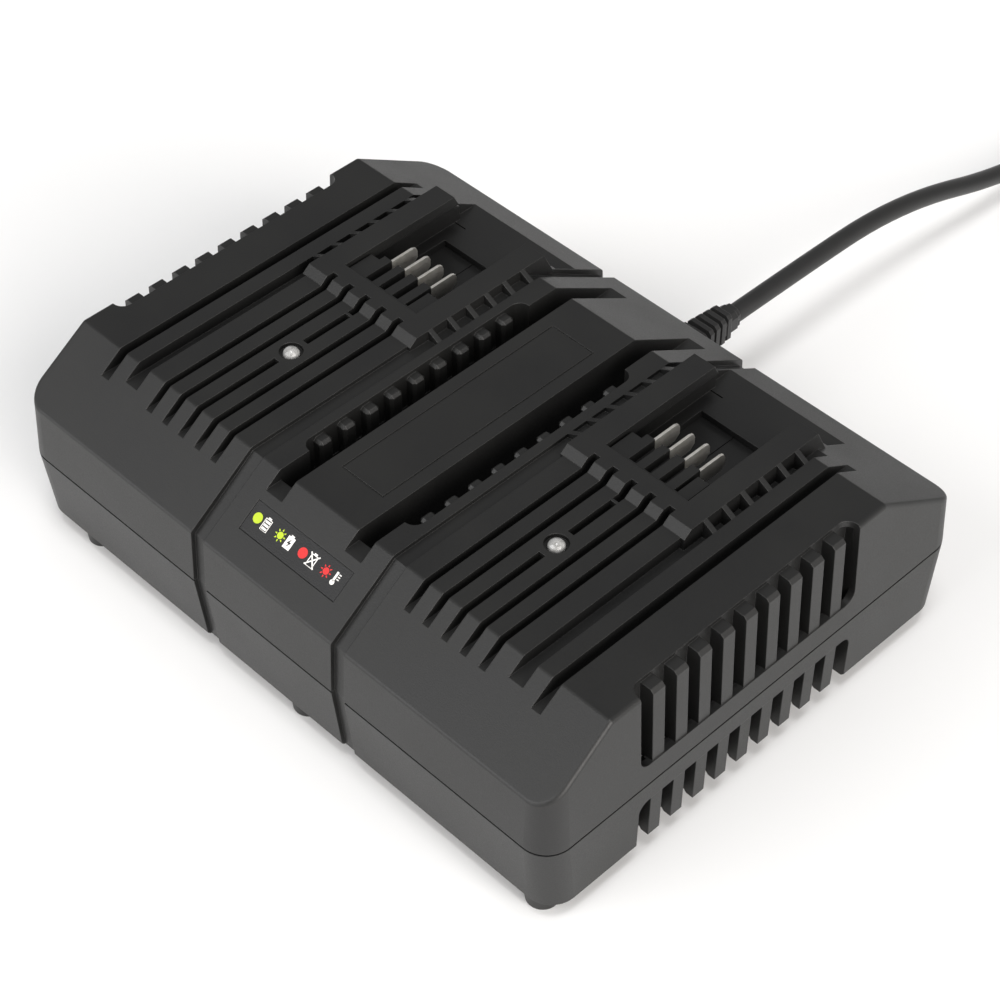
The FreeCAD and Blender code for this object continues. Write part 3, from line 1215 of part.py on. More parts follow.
body_start_y = plug_start_y - plug_relief
face_y = body_start_y - plug_length
plug_blank = loft_along_y("plug_blank", [
    (plug_start_y, 4.4, 4.4, 1.6),
    (body_start_y, 5.6, 5.6, 2.0),
    (body_start_y - 5, 9.5, 8.5, 3.0),
    (body_start_y - 14, plug_width / 2 - 1, plug_z, 4.0),
    (face_y + 2, plug_width / 2, plug_z, 4.0),
    (face_y, plug_width / 2 - 1.2, plug_z - 1.2, 3.4),
])
pins = []
pin_pockets = []
for side in (-1, 1):
    middle = plug_x + pin_spacing / 2 * side
    spans = [(middle - pin_thickness / 2, middle + pin_thickness / 2),
             (face_y - pin_length, face_y + 8), (plug_z - pin_width / 2, plug_z + pin_width / 2)]
    pins.append(box(f"plug_pin_{side + 2}", *spans))
    pin_pockets.append(box(f"pin_pocket_{side + 2}", *spans))
plug_body = less("plug_body_solid", plug_blank, pin_pockets)

doc.recompute()

# Hand the pieces over as named files

NODES = {
    "upper_housing": [upper_housing],
    "lower_housing": [lower_housing],
    "left_terminal_block": [left_terminal_block],
    "right_terminal_block": [right_terminal_block],
    "left_terminal_carrier": [left_carrier],
    "right_terminal_carrier": [right_carrier],
    "left_terminal_blades": left_blades,
    "right_terminal_blades": right_blades,
    "left_status_lens": [left_lens],
    "right_status_lens": [right_lens],
    "left_status_lamp": [left_lamp],
    "right_status_lamp": [right_lamp],
    "legend_plate": [legend],
    "circuit_board": [board],
    "transformer_core": [transformer_core],
    "transformer_winding": [transformer_winding],
    "mains_filter_choke": [choke],
    "capacitors": capacitors,
    "heat_sink": [heat_sink],
    "power_transistors": transistors,
    "mains_fuse": [fuse],
    "housing_screws": screws,
    "rubber_feet": feet,
    "board_screws": board_screws,
    "strain_relief_boot": [strain_relief],
    "mains_cord": [mains_cord],
    "cord_coil": [cord_coil],
    "plug_body": [plug_body],
    "plug_pins": pins,
}

for piece in doc.Objects:
    if "Invalid" in piece.State or "Error" in piece.State:
        raise RuntimeError(f"{piece.Name} did not build: {piece.State}")

os.makedirs("parts", exist_ok=True)
for node, pieces in NODES.items():
    shapes = [piece.Shape for piece in pieces]
    for shape in shapes:
        if shape.isNull() or not shape.isValid():
            raise RuntimeError(f"{node} has no valid shape")
    solids = [solid for shape in shapes for solid in shape.Solids]
    whole = solids[0] if len(solids) == 1 else Part.makeCompound(solids)
    whole.exportStep(f"parts/{node}.step")
    print(f"{node}: {len(solids)} solid(s), {sum(solid.Volume for solid in solids) / 1000:.2f} cm3")
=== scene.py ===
# %% [markdown]
# # A twin-bay battery charger
# This lesson dresses the measured model of a charger for slide-on tool batteries. The moulded
# shells, contact blades and screws come ready from the model, so most of the work here is
# finishes, light and the soft mains lead. First the model is loaded and its size is noted.

# %% Load the model
import math

import bmesh
import bpy
from mathutils import Euler, Matrix, Vector


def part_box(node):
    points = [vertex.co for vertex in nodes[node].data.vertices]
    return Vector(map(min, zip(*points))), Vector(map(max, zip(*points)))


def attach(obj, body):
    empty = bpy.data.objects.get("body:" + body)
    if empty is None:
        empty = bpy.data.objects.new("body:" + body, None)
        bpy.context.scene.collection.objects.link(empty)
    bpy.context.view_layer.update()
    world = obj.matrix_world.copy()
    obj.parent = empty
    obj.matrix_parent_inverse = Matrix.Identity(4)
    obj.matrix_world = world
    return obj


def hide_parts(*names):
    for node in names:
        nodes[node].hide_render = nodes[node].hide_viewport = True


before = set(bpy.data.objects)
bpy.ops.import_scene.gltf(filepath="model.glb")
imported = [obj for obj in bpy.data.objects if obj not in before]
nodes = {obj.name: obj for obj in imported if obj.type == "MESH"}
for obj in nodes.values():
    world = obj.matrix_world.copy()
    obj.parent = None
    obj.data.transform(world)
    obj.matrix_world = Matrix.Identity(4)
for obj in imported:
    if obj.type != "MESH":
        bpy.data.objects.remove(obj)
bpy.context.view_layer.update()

MM = 0.001
print("pieces in the model:", len(nodes))

# %% [markdown]
# ## Camera
# A product photographer stands well back with a long lens, so that parallel edges stay nearly
# parallel. The camera looks at the front right corner from about 45 degrees up and 45 degrees
# round. Its place was worked out from the case's own edges.

# %% Set up the camera
lens_mm = 93.19
sensor_mm = 36.0
camera_place = (0.42212, -0.40920, 0.63025)
degrees_down = 45.645
degrees_round = 45.363

camera_data = bpy.data.cameras.new("product_camera")
camera_data.lens = lens_mm
camera_data.sensor_width = sensor_mm
camera = bpy.data.objects.new("product_camera", camera_data)
camera.location = camera_place
camera.rotation_euler = Euler((math.radians(90 - degrees_down), 0, math.radians(degrees_round)))
bpy.context.scene.collection.objects.link(camera)
bpy.context.scene.camera = camera
print("camera distance:", round(camera.location.length, 3), "m")

# %% [markdown]
# ## Mains lead
# A rubber lead is stiff: it leaves its sleeve straight, comes down under its own weight and
# lies on the table. A smooth curve with a few given points does this well, since the
# spline rounds the corners by itself. What is not in use is wound into a neat round coil, so
# the coil's turns are added to the same spline by a loop: inwards on the table, then outwards
# on top. The bevel is one metre and each point scales it down to the lead's own radius, so the
# box that Blender keeps for the curve is the real one.

# %% Lay the route of the mains lead
cord_diameter = 6.9 * MM
table_gap = 0.05 * MM
on_table = cord_diameter / 2 + table_gap
cord_route = [
    (0, 84.4 * MM, 34 * MM),
    (0, 150 * MM, 34 * MM),
    (0, 212 * MM, 32 * MM),
    (4 * MM, 276 * MM, 11 * MM),
    (2 * MM, 333 * MM, on_table),
    (2 * MM, 385 * MM, on_table),
]
coil_mid_radius = 41 * MM
coil_spacing = 7.45 * MM
turns_in = 2.75
turns_out = 2.75
climb_turns = 0.5
coil_tail = 30 * MM


def coil_point(turn):
    """Place on the coil after some turns, clockwise from where the lead comes in."""
    inner = coil_mid_radius - coil_spacing * turns_in / 2
    radius = inner + coil_spacing * abs(turn - turns_in)
    outer = inner + coil_spacing * turns_in
    climbed = min(max((turn - turns_in) / climb_turns + 0.5, 0), 1)
    eased = climbed ** 2 * (3 - 2 * climbed)
    height = on_table + coil_spacing * eased
    angle = math.pi - 2 * math.pi * turn
    centre_x = cord_route[-1][0] + outer
    centre_y = cord_route[-1][1] + cord_diameter
    return (centre_x + radius * math.cos(angle), centre_y + radius * math.sin(angle), height)


points_per_turn = 16
coil_points = [coil_point(step / points_per_turn)
               for step in range(int((turns_in + turns_out) * points_per_turn) + 1)]
tail_x, tail_y, tail_z = coil_points[-1]
cord_points = cord_route + coil_points + [(tail_x, tail_y - coil_tail, tail_z)]
print("points on the lead:", len(cord_points))

# %% Make the lead as one smooth tube
full_bevel = 1.0

cord_curve = bpy.data.curves.new("mains_lead", "CURVE")
cord_curve.dimensions = "3D"
cord_curve.bevel_depth = full_bevel
cord_curve.bevel_resolution = 7
cord_curve.resolution_u = 10
cord_curve.use_fill_caps = True
cord_spline = cord_curve.splines.new("NURBS")
cord_spline.points.add(len(cord_points) - 1)
for point, place in zip(cord_spline.points, cord_points):
    point.co = (*place, 1)
    point.radius = cord_diameter / 2 / full_bevel
cord_spline.order_u = 3
cord_spline.use_endpoint_u = True
lead = bpy.data.objects.new("mains_lead", cord_curve)
bpy.context.scene.collection.objects.link(lead)
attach(lead, "root")
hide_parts("mains_cord", "cord_coil")

# %% [markdown]
# ## Floor and light
# Catalogue pictures of black tools are shot on a white sweep. The sweep has to come out white
# while the case stays near black, so the light is even and mostly comes from places that the
# flat top does not mirror towards the camera: a wide soft light from the front, which the front
# walls mirror, a slightly warm one from the right for the end wall, and a small one overhead. A
# dim even sky fills the rest.

# %% Lay the floor
half_sweep = 3.0
sweep_corners = [(-half_sweep, -half_sweep, 0), (half_sweep, -half_sweep, 0),
                 (half_sweep, half_sweep, 0), (-half_sweep, half_sweep, 0)]
floor_mesh = bpy.data.meshes.new("white_sweep")
floor_mesh.from_pydata(sweep_corners, [], [(0, 1, 2, 3)])
floor = bpy.data.objects.new("white_sweep", floor_mesh)
bpy.context.scene.collection.objects.link(floor)
print("floor:", half_sweep * 2, "m wide")

# %% Hang the lights
sky_strength = 0.3
warm_white = (1.0, 0.965, 0.93)


def soft_light(name, direction, strength, spread_degrees):
    """An even light that comes from one direction, spread over a wide cone."""
    light = bpy.data.lights.new(name, "SUN")
    light.energy = strength
    light.angle = math.radians(spread_degrees)
    lamp = bpy.data.objects.new(name, light)
    lamp.rotation_euler = Vector(direction).to_track_quat("Z", "Y").to_euler()
    bpy.context.scene.collection.objects.link(lamp)
    return lamp


soft_light("front_left_light", (-0.3, -0.85, 0.42), 1.6, 50)
right_light = soft_light("right_end_light", (0.95, -0.15, 0.42), 3.1, 50)
right_light.data.color = warm_white
soft_light("overhead_light", (0.1, -0.1, 1.0), 1.1, 20)

world = bpy.data.worlds.new("white_studio")
world.use_nodes = True
sky = world.node_tree.nodes["Background"]
sky.inputs["Color"].default_value = (1, 1, 1, 1)
sky.inputs["Strength"].default_value = sky_strength
bpy.context.scene.world = world
bpy.context.scene.view_settings.view_transform = "Standard"

# %% [markdown]
# ## Colours and nodes
# Colours are picked on screen, so they are written as sRGB hex values. Shaders mix light,
# which adds up evenly, so each value is turned to linear first. Materials are built from many
# small nodes, and one helper adds a node with its settings and links.

# %% Helpers for colours and shader nodes


def linear(hex_colour):
    """Turn an sRGB hex value such as "#808080" into a linear RGBA colour."""
    parts = [int(hex_colour[place:place + 2], 16) / 255 for place in (1, 3, 5)]
    return [part / 12.92 if part <= 0.04045 else ((part + 0.055) / 1.055) ** 2.4
            for part in parts] + [1]


def add(material, kind, inputs=None, **settings):
    """Add a shader node, set its settings, then fill its sockets with values or links."""
    node = material.node_tree.nodes.new("ShaderNode" + kind)
    for name, value in settings.items():
        setattr(node, name, value)
    for socket, value in (inputs or {}).items():
        if isinstance(value, bpy.types.NodeSocket):
            material.node_tree.links.new(value, node.inputs[socket])
        else:
            node.inputs[socket].default_value = value
    return node


def new_material(name):
    """A fresh material with only an output node, and that output."""
    material = bpy.data.materials.new(name)
    material.use_nodes = True
    material.node_tree.nodes.clear()
    return material, add(material, "OutputMaterial")


def finish_with(material, output, shader):
    """Join the finished shader to the output."""
    material.node_tree.links.new(shader.outputs[0], output.inputs["Surface"])
    return material


def ramp(material, factor, low, high, low_value, high_value):
    """Map a factor between two places to two grey values."""
    made = add(material, "MapRange", {"Value": factor, "From Min": low, "From Max": high,
                                      "To Min": low_value, "To Max": high_value})
    return made.outputs["Result"]


print("helpers ready; mid grey is", round(linear("#808080")[0], 3))

# %% [markdown]
# ## Spark-eroded ABS
# The case is black ABS blended with polycarbonate. Its mould was spark-eroded, which leaves a
# fine even grain of about a fifth of a millimetre, drawn here at nearly half a millimetre so
# that it shows. The grain scatters light, so the plastic looks satin rather than glossy, and
# tilted faces look much lighter than the top. Sharp edges of a moulding are always a little
# rounded and catch a thin line of light: the bevel node rounds the shading there without adding
# any mesh, and the same node finds the edges, which are painted a shade paler, partly a painted
# highlight and partly a little wear. The terminal blocks are smoother glass-filled nylon, so
# they share the function with a shallower grain.

# %% Make the moulded plastics
flow_drift_mm = 35
# Paler grey painted on the edges: partly a painted highlight, partly a little wear.
wear_and_highlight_grey = "#282726"


def moulded_plastic(name, colour, light_colour, grain_mm, grain_height_mm, roughness, edge_mm):
    """Moulded plastic with an even grain, faint tonal drift and softly rounded edges painted paler, partly
    as a painted highlight and partly as wear.
    """
    material, output = new_material(name)
    place = add(material, "TexCoord").outputs["Object"]
    drift = add(material, "TexNoise", {"Vector": place, "Scale": 1 / (flow_drift_mm * MM), "Detail": 3.0})
    grain = add(material, "TexNoise", {"Vector": place, "Scale": 1 / (grain_mm * MM), "Detail": 2.0})
    rounding = add(material, "Bevel", {"Radius": edge_mm * MM}, samples=6)
    flat = add(material, "NewGeometry").outputs["Normal"]
    facing = add(material, "VectorMath", {0: rounding.outputs["Normal"], 1: flat},
                 operation="DOT_PRODUCT")
    edge = ramp(material, facing.outputs["Value"], 1.0, 0.8, 0.0, 1.0)
    tone = add(material, "MixRGB", {"Fac": ramp(material, drift.outputs["Fac"], 0.35, 0.65, 0.0, 1.0),
                                    "Color1": linear(colour), "Color2": linear(light_colour)})
    # Edges are mixed towards the paler grey: a painted highlight, with a little wear.
    wear_and_highlight_mix = add(material, "MixRGB", {"Fac": ramp(material, edge, 0.0, 1.0, 0.0, 0.5),
                                    "Color1": tone.outputs["Color"], "Color2": linear(wear_and_highlight_grey)})
    gloss = add(material, "Math", {0: ramp(material, grain.outputs["Fac"], 0.3, 0.7, -0.04, 0.04),
                                   1: ramp(material, drift.outputs["Fac"], 0.3, 0.7, roughness - 0.03,
                                           roughness + 0.03)}, operation="ADD")
    bump = add(material, "Bump", {"Height": grain.outputs["Fac"], "Distance": grain_height_mm * MM,
                                  "Strength": 0.6, "Normal": rounding.outputs["Normal"]})
    shader = add(material, "BsdfPrincipled", {
        "Base Color": wear_and_highlight_mix.outputs["Color"], "Roughness": gloss.outputs["Value"],
        "IOR": 1.54, "Normal": bump.outputs["Normal"]})
    return finish_with(material, output, shader)


abs_grained = moulded_plastic("spark_eroded_black_abs", "#131313", "#171716", grain_mm=0.45,
                              grain_height_mm=0.05, roughness=0.46, edge_mm=0.35)
nylon_smooth = moulded_plastic("glass_filled_black_nylon", "#101010", "#131312", grain_mm=0.6,
                               grain_height_mm=0.02, roughness=0.42, edge_mm=0.2)
print("moulded plastics:", abs_grained.name, nylon_smooth.name)

# %% [markdown]
# ## Rubber
# The lead, its sleeve and the plug are soft vinyl, and the feet are nitrile rubber. Both have
# a finely pitted skin, drawn at half a millimetre so that it shows, and a bloom that drifts
# over a centimetre or so and changes how dull they are. A faint sheen stands for mould release.

# %% Make the rubbers
bloom_mm = 14
pit_depth_mm = 0.06
rubber_edge_mm = 0.4


def soft_rubber(name, colour, light_colour, pit_mm, roughness):
    """Vinyl or rubber with fine pits and a cloudy bloom."""
    material, output = new_material(name)
    place = add(material, "TexCoord").outputs["Object"]
    pits = add(material, "TexNoise", {"Vector": place, "Scale": 1 / (pit_mm * MM), "Detail": 3.0})
    bloom = add(material, "TexNoise", {"Vector": place, "Scale": 1 / (bloom_mm * MM), "Detail": 4.0})
    rounding = add(material, "Bevel", {"Radius": rubber_edge_mm * MM}, samples=6)
    tone = add(material, "MixRGB", {"Fac": ramp(material, bloom.outputs["Fac"], 0.35, 0.7, 0.0, 1.0),
                                    "Color1": linear(colour), "Color2": linear(light_colour)})
    bump = add(material, "Bump", {"Height": pits.outputs["Fac"], "Distance": pit_depth_mm * MM,
                                  "Strength": 0.5, "Normal": rounding.outputs["Normal"]})
    shader = add(material, "BsdfPrincipled", {
        "Base Color": tone.outputs["Color"],
        "Roughness": ramp(material, bloom.outputs["Fac"], 0.3, 0.7, roughness - 0.05, roughness + 0.05),
        "IOR": 1.5, "Sheen Weight": 0.1, "Sheen Roughness": 0.5, "Normal": bump.outputs["Normal"]})
    return finish_with(material, output, shader)


pvc_jacket = soft_rubber("pvc_cord_jacket", "#0e0e0e", "#121212", pit_mm=0.5, roughness=0.5)
foot_rubber = soft_rubber("moulded_nitrile_rubber", "#171717", "#1c1c1b", pit_mm=0.6, roughness=0.7)
print("rubbers:", pvc_jacket.name, foot_rubber.name)

# %% [markdown]
# ## Metals
# The contact blades are stamped from brass sheet and nickel plated, which leaves a satin skin
# with fine rolling lines along their length. The plug's pins are bare brass. Screws are zinc
# plated steel with a slightly cloudy passivation, and the heat sink is plain extruded
# aluminium. All of them share one function: a noise stretched along one axis gives the lines.

# %% Make the metals
cloud_mm = 3
line_depth_mm = 0.01
metal_edge_mm = 0.15


def worked_metal(name, colour, dark_colour, line_mm, stretch, roughness):
    """Metal with fine lines left by rolling or extruding, stretched along one axis."""
    material, output = new_material(name)
    place = add(material, "TexCoord").outputs["Object"]
    stretched = add(material, "Mapping", {"Vector": place, "Scale": stretch})
    lines = add(material, "TexNoise", {"Vector": stretched.outputs["Vector"],
                                       "Scale": 1 / (line_mm * MM), "Detail": 4.0})
    cloud = add(material, "TexNoise", {"Vector": place, "Scale": 1 / (cloud_mm * MM), "Detail": 3.0})
    rounding = add(material, "Bevel", {"Radius": metal_edge_mm * MM}, samples=6)
    tone = add(material, "MixRGB", {"Fac": ramp(material, cloud.outputs["Fac"], 0.3, 0.7, 0.0, 1.0),
                                    "Color1": linear(colour), "Color2": linear(dark_colour)})
    bump = add(material, "Bump", {"Height": lines.outputs["Fac"], "Distance": line_depth_mm * MM,
                                  "Strength": 0.4, "Normal": rounding.outputs["Normal"]})
    shader = add(material, "BsdfPrincipled", {
        "Base Color": tone.outputs["Color"], "Metallic": 1.0,
        "Roughness": ramp(material, lines.outputs["Fac"], 0.3, 0.7, roughness - 0.06, roughness + 0.06),
        "Normal": bump.outputs["Normal"]})
    return finish_with(material, output, shader)


nickel_plate = worked_metal("nickel_plated_brass", "#f1efea", "#dedbd4", 0.12, (1, 0.08, 1), 0.46)
pin_brass = worked_metal("stamped_pin_brass", "#b0945a", "#9c834e", 0.15, (1, 0.08, 1), 0.4)
zinc_plate = worked_metal("zinc_plated_steel", "#b9bcbf", "#9a9da1", 0.2, (1, 1, 0.3), 0.34)
extruded_aluminium = worked_metal("extruded_aluminium", "#c8cacc", "#b4b6b8", 0.25, (1, 1, 0.05), 0.4)
core_steel = worked_metal("laminated_core_steel", "#77787a", "#5d5e60", 0.5, (1, 0.02, 1), 0.45)
metals = (nickel_plate, pin_brass, zinc_plate, extruded_aluminium, core_steel)
print("metals:", [metal.name for metal in metals])

# %% [markdown]
# ## Status lenses
# Each lens is a frosted polycarbonate light pipe with a polished dome. Unlit, it looks pale
# grey, because the frosting inside scatters what comes in through the clear skin. A little
# subsurface scattering under a glossy surface gives that look without costly refraction.

# %% Make the lens and the lamp resin
frosting_mm = 1.5


def cloudy_resin(name, colour, roughness, depth_mm):
    """Clear resin with a milky inside under a glossy skin."""
    material, output = new_material(name)
    place = add(material, "TexCoord").outputs["Object"]
    cloud = add(material, "TexNoise", {"Vector": place, "Scale": 1 / (frosting_mm * MM), "Detail": 2.0})
    tone = add(material, "MixRGB", {"Fac": ramp(material, cloud.outputs["Fac"], 0.3, 0.7, 0.0, 0.25),
                                    "Color1": linear(colour), "Color2": linear("#ffffff")})
    shader = add(material, "BsdfPrincipled", {
        "Base Color": tone.outputs["Color"], "IOR": 1.58, "Subsurface Weight": 0.4,
        "Subsurface Scale": depth_mm * MM, "Subsurface Radius": (1, 1, 1),
        "Roughness": ramp(material, cloud.outputs["Fac"], 0.3, 0.7, roughness, roughness + 0.08)})
    return finish_with(material, output, shader)


lens_resin = cloudy_resin("frosted_polycarbonate", "#8e8e8c", roughness=0.12, depth_mm=1.5)
lamp_resin = cloudy_resin("clear_epoxy_lamp", "#c9cac4", roughness=0.15, depth_mm=1.0)
print("resins:", lens_resin.name, lamp_resin.name)

# %% [markdown]
# ## Parts behind the vents and printed film
# Only glimpses of the electronics show through the grilles, but each still gets its own
# finish: green solder mask with paler tracks under it, a yellow tape wound transformer, dark
# ferrite and a blue sleeve on the capacitors. The legend's film and its inks are thin coats
# too. All of them are an even coat over a small cell pattern, so one function makes them.

# %% Make the coats
cell_depth_mm = 0.05


def coated(name, colour, second_colour, pattern_mm, roughness):
    """A painted, taped or moulded surface with a two-tone pattern."""
    material, output = new_material(name)
    place = add(material, "TexCoord").outputs["Object"]
    pattern = add(material, "TexVoronoi", {"Vector": place, "Scale": 1 / (pattern_mm * MM)},
                  distance="MANHATTAN")
    tone = add(material, "MixRGB", {"Fac": ramp(material, pattern.outputs["Distance"], 0.2, 0.5, 0.0, 1.0),
                                    "Color1": linear(colour), "Color2": linear(second_colour)})
    bump = add(material, "Bump", {"Height": pattern.outputs["Distance"], "Distance": cell_depth_mm * MM,
                                  "Strength": 0.4})
    shader = add(material, "BsdfPrincipled", {
        "Base Color": tone.outputs["Color"], "IOR": 1.5, "Normal": bump.outputs["Normal"],
        "Roughness": ramp(material, pattern.outputs["Distance"], 0.0, 1.0, roughness, roughness + 0.15)})
    return finish_with(material, output, shader)


solder_mask = coated("green_solder_mask", "#15451f", "#1f5a2a", 2.5, 0.3)
winding_tape = coated("polyester_winding_tape", "#b98a1e", "#c99a2c", 4.0, 0.35)
ferrite = coated("sintered_ferrite", "#2a2a2b", "#323233", 0.8, 0.6)
capacitor_sleeve = coated("pvc_capacitor_sleeve", "#15193a", "#1a1f47", 6.0, 0.3)
epoxy_package = coated("moulded_epoxy_package", "#1c1c1d", "#242425", 0.7, 0.5)
print_film = coated("black_polyester_film", "#121213", "#151516", 0.5, 0.3)
print_white = coated("white_legend_ink", "#ece9e4", "#f4f2ee", 0.4, 0.45)
print_lime = coated("lime_legend_ink", "#b3c926", "#bcd22c", 0.4, 0.45)
print_red = coated("red_legend_ink", "#cc2424", "#d62e2e", 0.4, 0.45)
fuse_resin = coated("moulded_fuse_resin", "#5a2014", "#66281b", 1.2, 0.35)
coats = (solder_mask, winding_tape, ferrite, capacitor_sleeve, epoxy_package, fuse_resin,
         print_film, print_white, print_lime, print_red)
print("coats:", [coat.name for coat in coats])

# %% [markdown]
# ## Which piece has which finish
# A parts list says what each piece is made of, and so does this table. It is written from the
# finish to the pieces, because most finishes serve more than one piece, and a loop then dresses
# every piece of the model and the lead.

# %% List the finishes
finishes = {
    abs_grained: ["upper_housing", "lower_housing"],
    nylon_smooth: ["left_terminal_block", "right_terminal_block",
                   "left_terminal_carrier", "right_terminal_carrier"],
    nickel_plate: ["left_terminal_blades", "right_terminal_blades"],
    pin_brass: ["plug_pins"],
    lens_resin: ["left_status_lens", "right_status_lens"],
    lamp_resin: ["left_status_lamp", "right_status_lamp"],
    solder_mask: ["circuit_board"],
    core_steel: ["transformer_core"],
    winding_tape: ["transformer_winding"],
    ferrite: ["mains_filter_choke"],
    capacitor_sleeve: ["capacitors"],
    extruded_aluminium: ["heat_sink"],
    epoxy_package: ["power_transistors"],
    fuse_resin: ["mains_fuse"],
    zinc_plate: ["housing_screws", "board_screws"],
    foot_rubber: ["rubber_feet"],
    pvc_jacket: ["strain_relief_boot", "plug_body"],
    print_film: ["legend_plate"],
}
print("finishes:", len(finishes))

# %% Dress the pieces


def dress(thing, material):
    """Use one material for the whole object."""
    thing.data.materials.clear()
    thing.data.materials.append(material)


for material, names in finishes.items():
    for name in names:
        dress(nodes[name], material)
dress(lead, pvc_jacket)
print("pieces dressed:", sum(len(names) for names in finishes.values()) + 1)

# %% [markdown]
# ## Paper of the sweep
# The sweep is a roll of matte white paper. It scatters light evenly, and its fibres only show as
# a very slight unevenness, drawn at two millimetres because the real fibres are too fine.

# %% Make the matte white paper
paper, paper_output = new_material("matte_white_paper")
paper_place = add(paper, "TexCoord").outputs["Object"]
paper_fibre = add(paper, "TexNoise", {"Vector": paper_place, "Scale": 1 / (2 * MM), "Detail": 3.0})
paper_bump = add(paper, "Bump", {"Height": paper_fibre.outputs["Fac"], "Distance": 0.02 * MM,
                                 "Strength": 0.2})
paper_shader = add(paper, "BsdfPrincipled", {"Base Color": linear("#f4f4f4"), "Roughness": 0.9,
                                             "Normal": paper_bump.outputs["Normal"]})
finish_with(paper, paper_output, paper_shader)
floor.data.materials.append(paper)
print("floor finish:", paper.name)

# %% [markdown]
# ## Legend on the front slope
# A thin printed film shows what the status lamps mean: a coloured dot or burst beside a small
# battery. Print is thin, but it has crisp edges, so each mark is a flat mesh a few hundredths
# of a millimetre above the film. The marks are drawn in millimetres on the film's own plane,
# with u along the case and v up the slope.

# %% Find the plane of the film
slope_low = Vector((0, -91.35 * MM, 55 * MM))
slope_high = Vector((0, -65.2 * MM, 73.5 * MM))
film_inset = 0.15 * MM
up_slope = (slope_high - slope_low).normalized()
off_slope = Vector((1, 0, 0)).cross(up_slope)
film_surface = slope_low - off_slope * film_inset
print("slope angle:", round(math.degrees(math.asin(up_slope.z)), 1), "degrees")

# %% Print one mark
print_lift = 0.04 * MM
half_ink = 0.02 * MM


def print_mark(name, loops, ink):
    """A printed mark from closed loops of (u, v) points in mm; a loop inside another is a hole."""
    curve = bpy.data.curves.new(name, "CURVE")
    curve.dimensions = "2D"
    curve.fill_mode = "BOTH"
    curve.extrude = half_ink
    for loop in loops:
        spline = curve.splines.new("POLY")
        spline.points.add(len(loop) - 1)
        for point, (u, v) in zip(spline.points, loop):
            point.co = (u * MM, v * MM, 0, 1)
        spline.use_cyclic_u = True
    flat = bpy.data.objects.new(name, curve)
    mesh = bpy.data.meshes.new_from_object(flat)
    bpy.data.objects.remove(flat)
    bpy.data.curves.remove(curve)
    mark = bpy.data.objects.new(name, mesh)
    bpy.context.scene.collection.objects.link(mark)
    turn = Matrix((Vector((1, 0, 0)), up_slope, off_slope)).transposed().to_4x4()
    mark.data.transform(Matrix.Translation(film_surface + off_slope * print_lift) @ turn)
    dress(mark, ink)
    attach(mark, "root")
    return mark


print("ink is", round(half_ink * 2 / MM, 2), "mm thick")

# %% Draw the plain outlines


def circle(u, v, radius, count=32):
    """Points round a centre."""
    return [(u + radius * math.cos(2 * math.pi * step / count),
             v + radius * math.sin(2 * math.pi * step / count)) for step in range(count)]


def rectangle(u, v, width, height):
    """The four corners of an upright rectangle about its centre."""
    return [(u - width / 2, v - height / 2), (u + width / 2, v - height / 2),
            (u + width / 2, v + height / 2), (u - width / 2, v + height / 2)]


def stroke(start, end, width):
    """A straight bar of ink between two places."""
    along = (Vector(end) - Vector(start)).normalized()
    across = Vector((-along.y, along.x)) * width / 2
    return [tuple(Vector(start) + across), tuple(Vector(start) - across),
            tuple(Vector(end) - across), tuple(Vector(end) + across)]


print("points on a circle:", len(circle(0, 0, 1)))

# %% Draw the lamp and cell outlines
dot_radius = 1.75
burst_core = 1.15
ray_start, ray_end = 1.45, 2.15
ray_root, ray_tip = 0.28, 0.1
cell_half, cap_half = 1.45, 0.65
cell_low, cell_high, cap_high = 2.3, 1.8, 2.35


def burst(u, v, rays=8):
    """A flashing lamp: a round core with short rays round it."""
    loops = [circle(u, v, burst_core)]
    for step in range(rays):
        turn = 2 * math.pi * step / rays
        along = Vector((math.cos(turn), math.sin(turn)))
        across = Vector((-math.sin(turn), math.cos(turn)))
        corners = (along * ray_start + across * ray_root, along * ray_start - across * ray_root,
                   along * ray_end - across * ray_tip, along * ray_end + across * ray_tip)
        loops.append([(u + corner.x, v + corner.y) for corner in corners])
    return loops


def battery(u, v):
    """The outline of an upright battery cell with its cap."""
    low, high, cap = v - cell_low, v + cell_high, v + cap_high
    return [(u - cell_half, low), (u + cell_half, low), (u + cell_half, high), (u + cap_half, high),
            (u + cap_half, cap), (u - cap_half, cap), (u - cap_half, high), (u - cell_half, high)]


print("points on a cell:", len(battery(0, 0)))

# %% [markdown]
# ## The four signs
# Each sign is a lamp and a picture of what it means: steady green for a full cell, flashing
# green for charging, steady red for a broken cell, and flashing red for a cell that is too hot
# or too cold. The pictures are plain outlines of the kind that chargers share. All of them sit
# on one row, and each has its own place along the case.

# %% Print the green signs
row_v = 16.2
ready_u, full_u, flash_u, charging_u = -17.9, -13.9, -7.6, -3.5
wall_drop = 0.3
bar_pitch = 1.15

print_mark("ready_dot", [circle(ready_u, row_v, dot_radius)], print_lime)
full_window = rectangle(full_u, row_v - wall_drop, 2.4, 3.7)
print_mark("full_cell", [battery(full_u, row_v), full_window], print_white)
full_bars = [rectangle(full_u, row_v - 1.5 + bar_pitch * step, 2.0, 0.75) for step in range(3)]
print_mark("full_cell_bars", full_bars, print_white)
print_mark("charging_burst", burst(flash_u, row_v), print_lime)
bolt_points = [(0.3, 1.3), (-0.85, -0.5), (-0.05, -0.5), (-0.35, -1.9), (0.85, 0.05), (0.1, 0.05)]
bolt = [(charging_u + u, row_v + v) for u, v in bolt_points]
print_mark("charging_cell", [battery(charging_u, row_v), bolt], print_white)
print("green signs run from", ready_u, "to", charging_u, "mm")

# %% Print the red signs
fault_u, broken_u, hot_u, tube_u, tick_u = 2.6, 6.9, 13.0, 16.9, 18.1
cross_half = 1.9
cross_low, cross_high = 2.3, 2.1
cross_width = 0.45
tick_pitch = 0.8

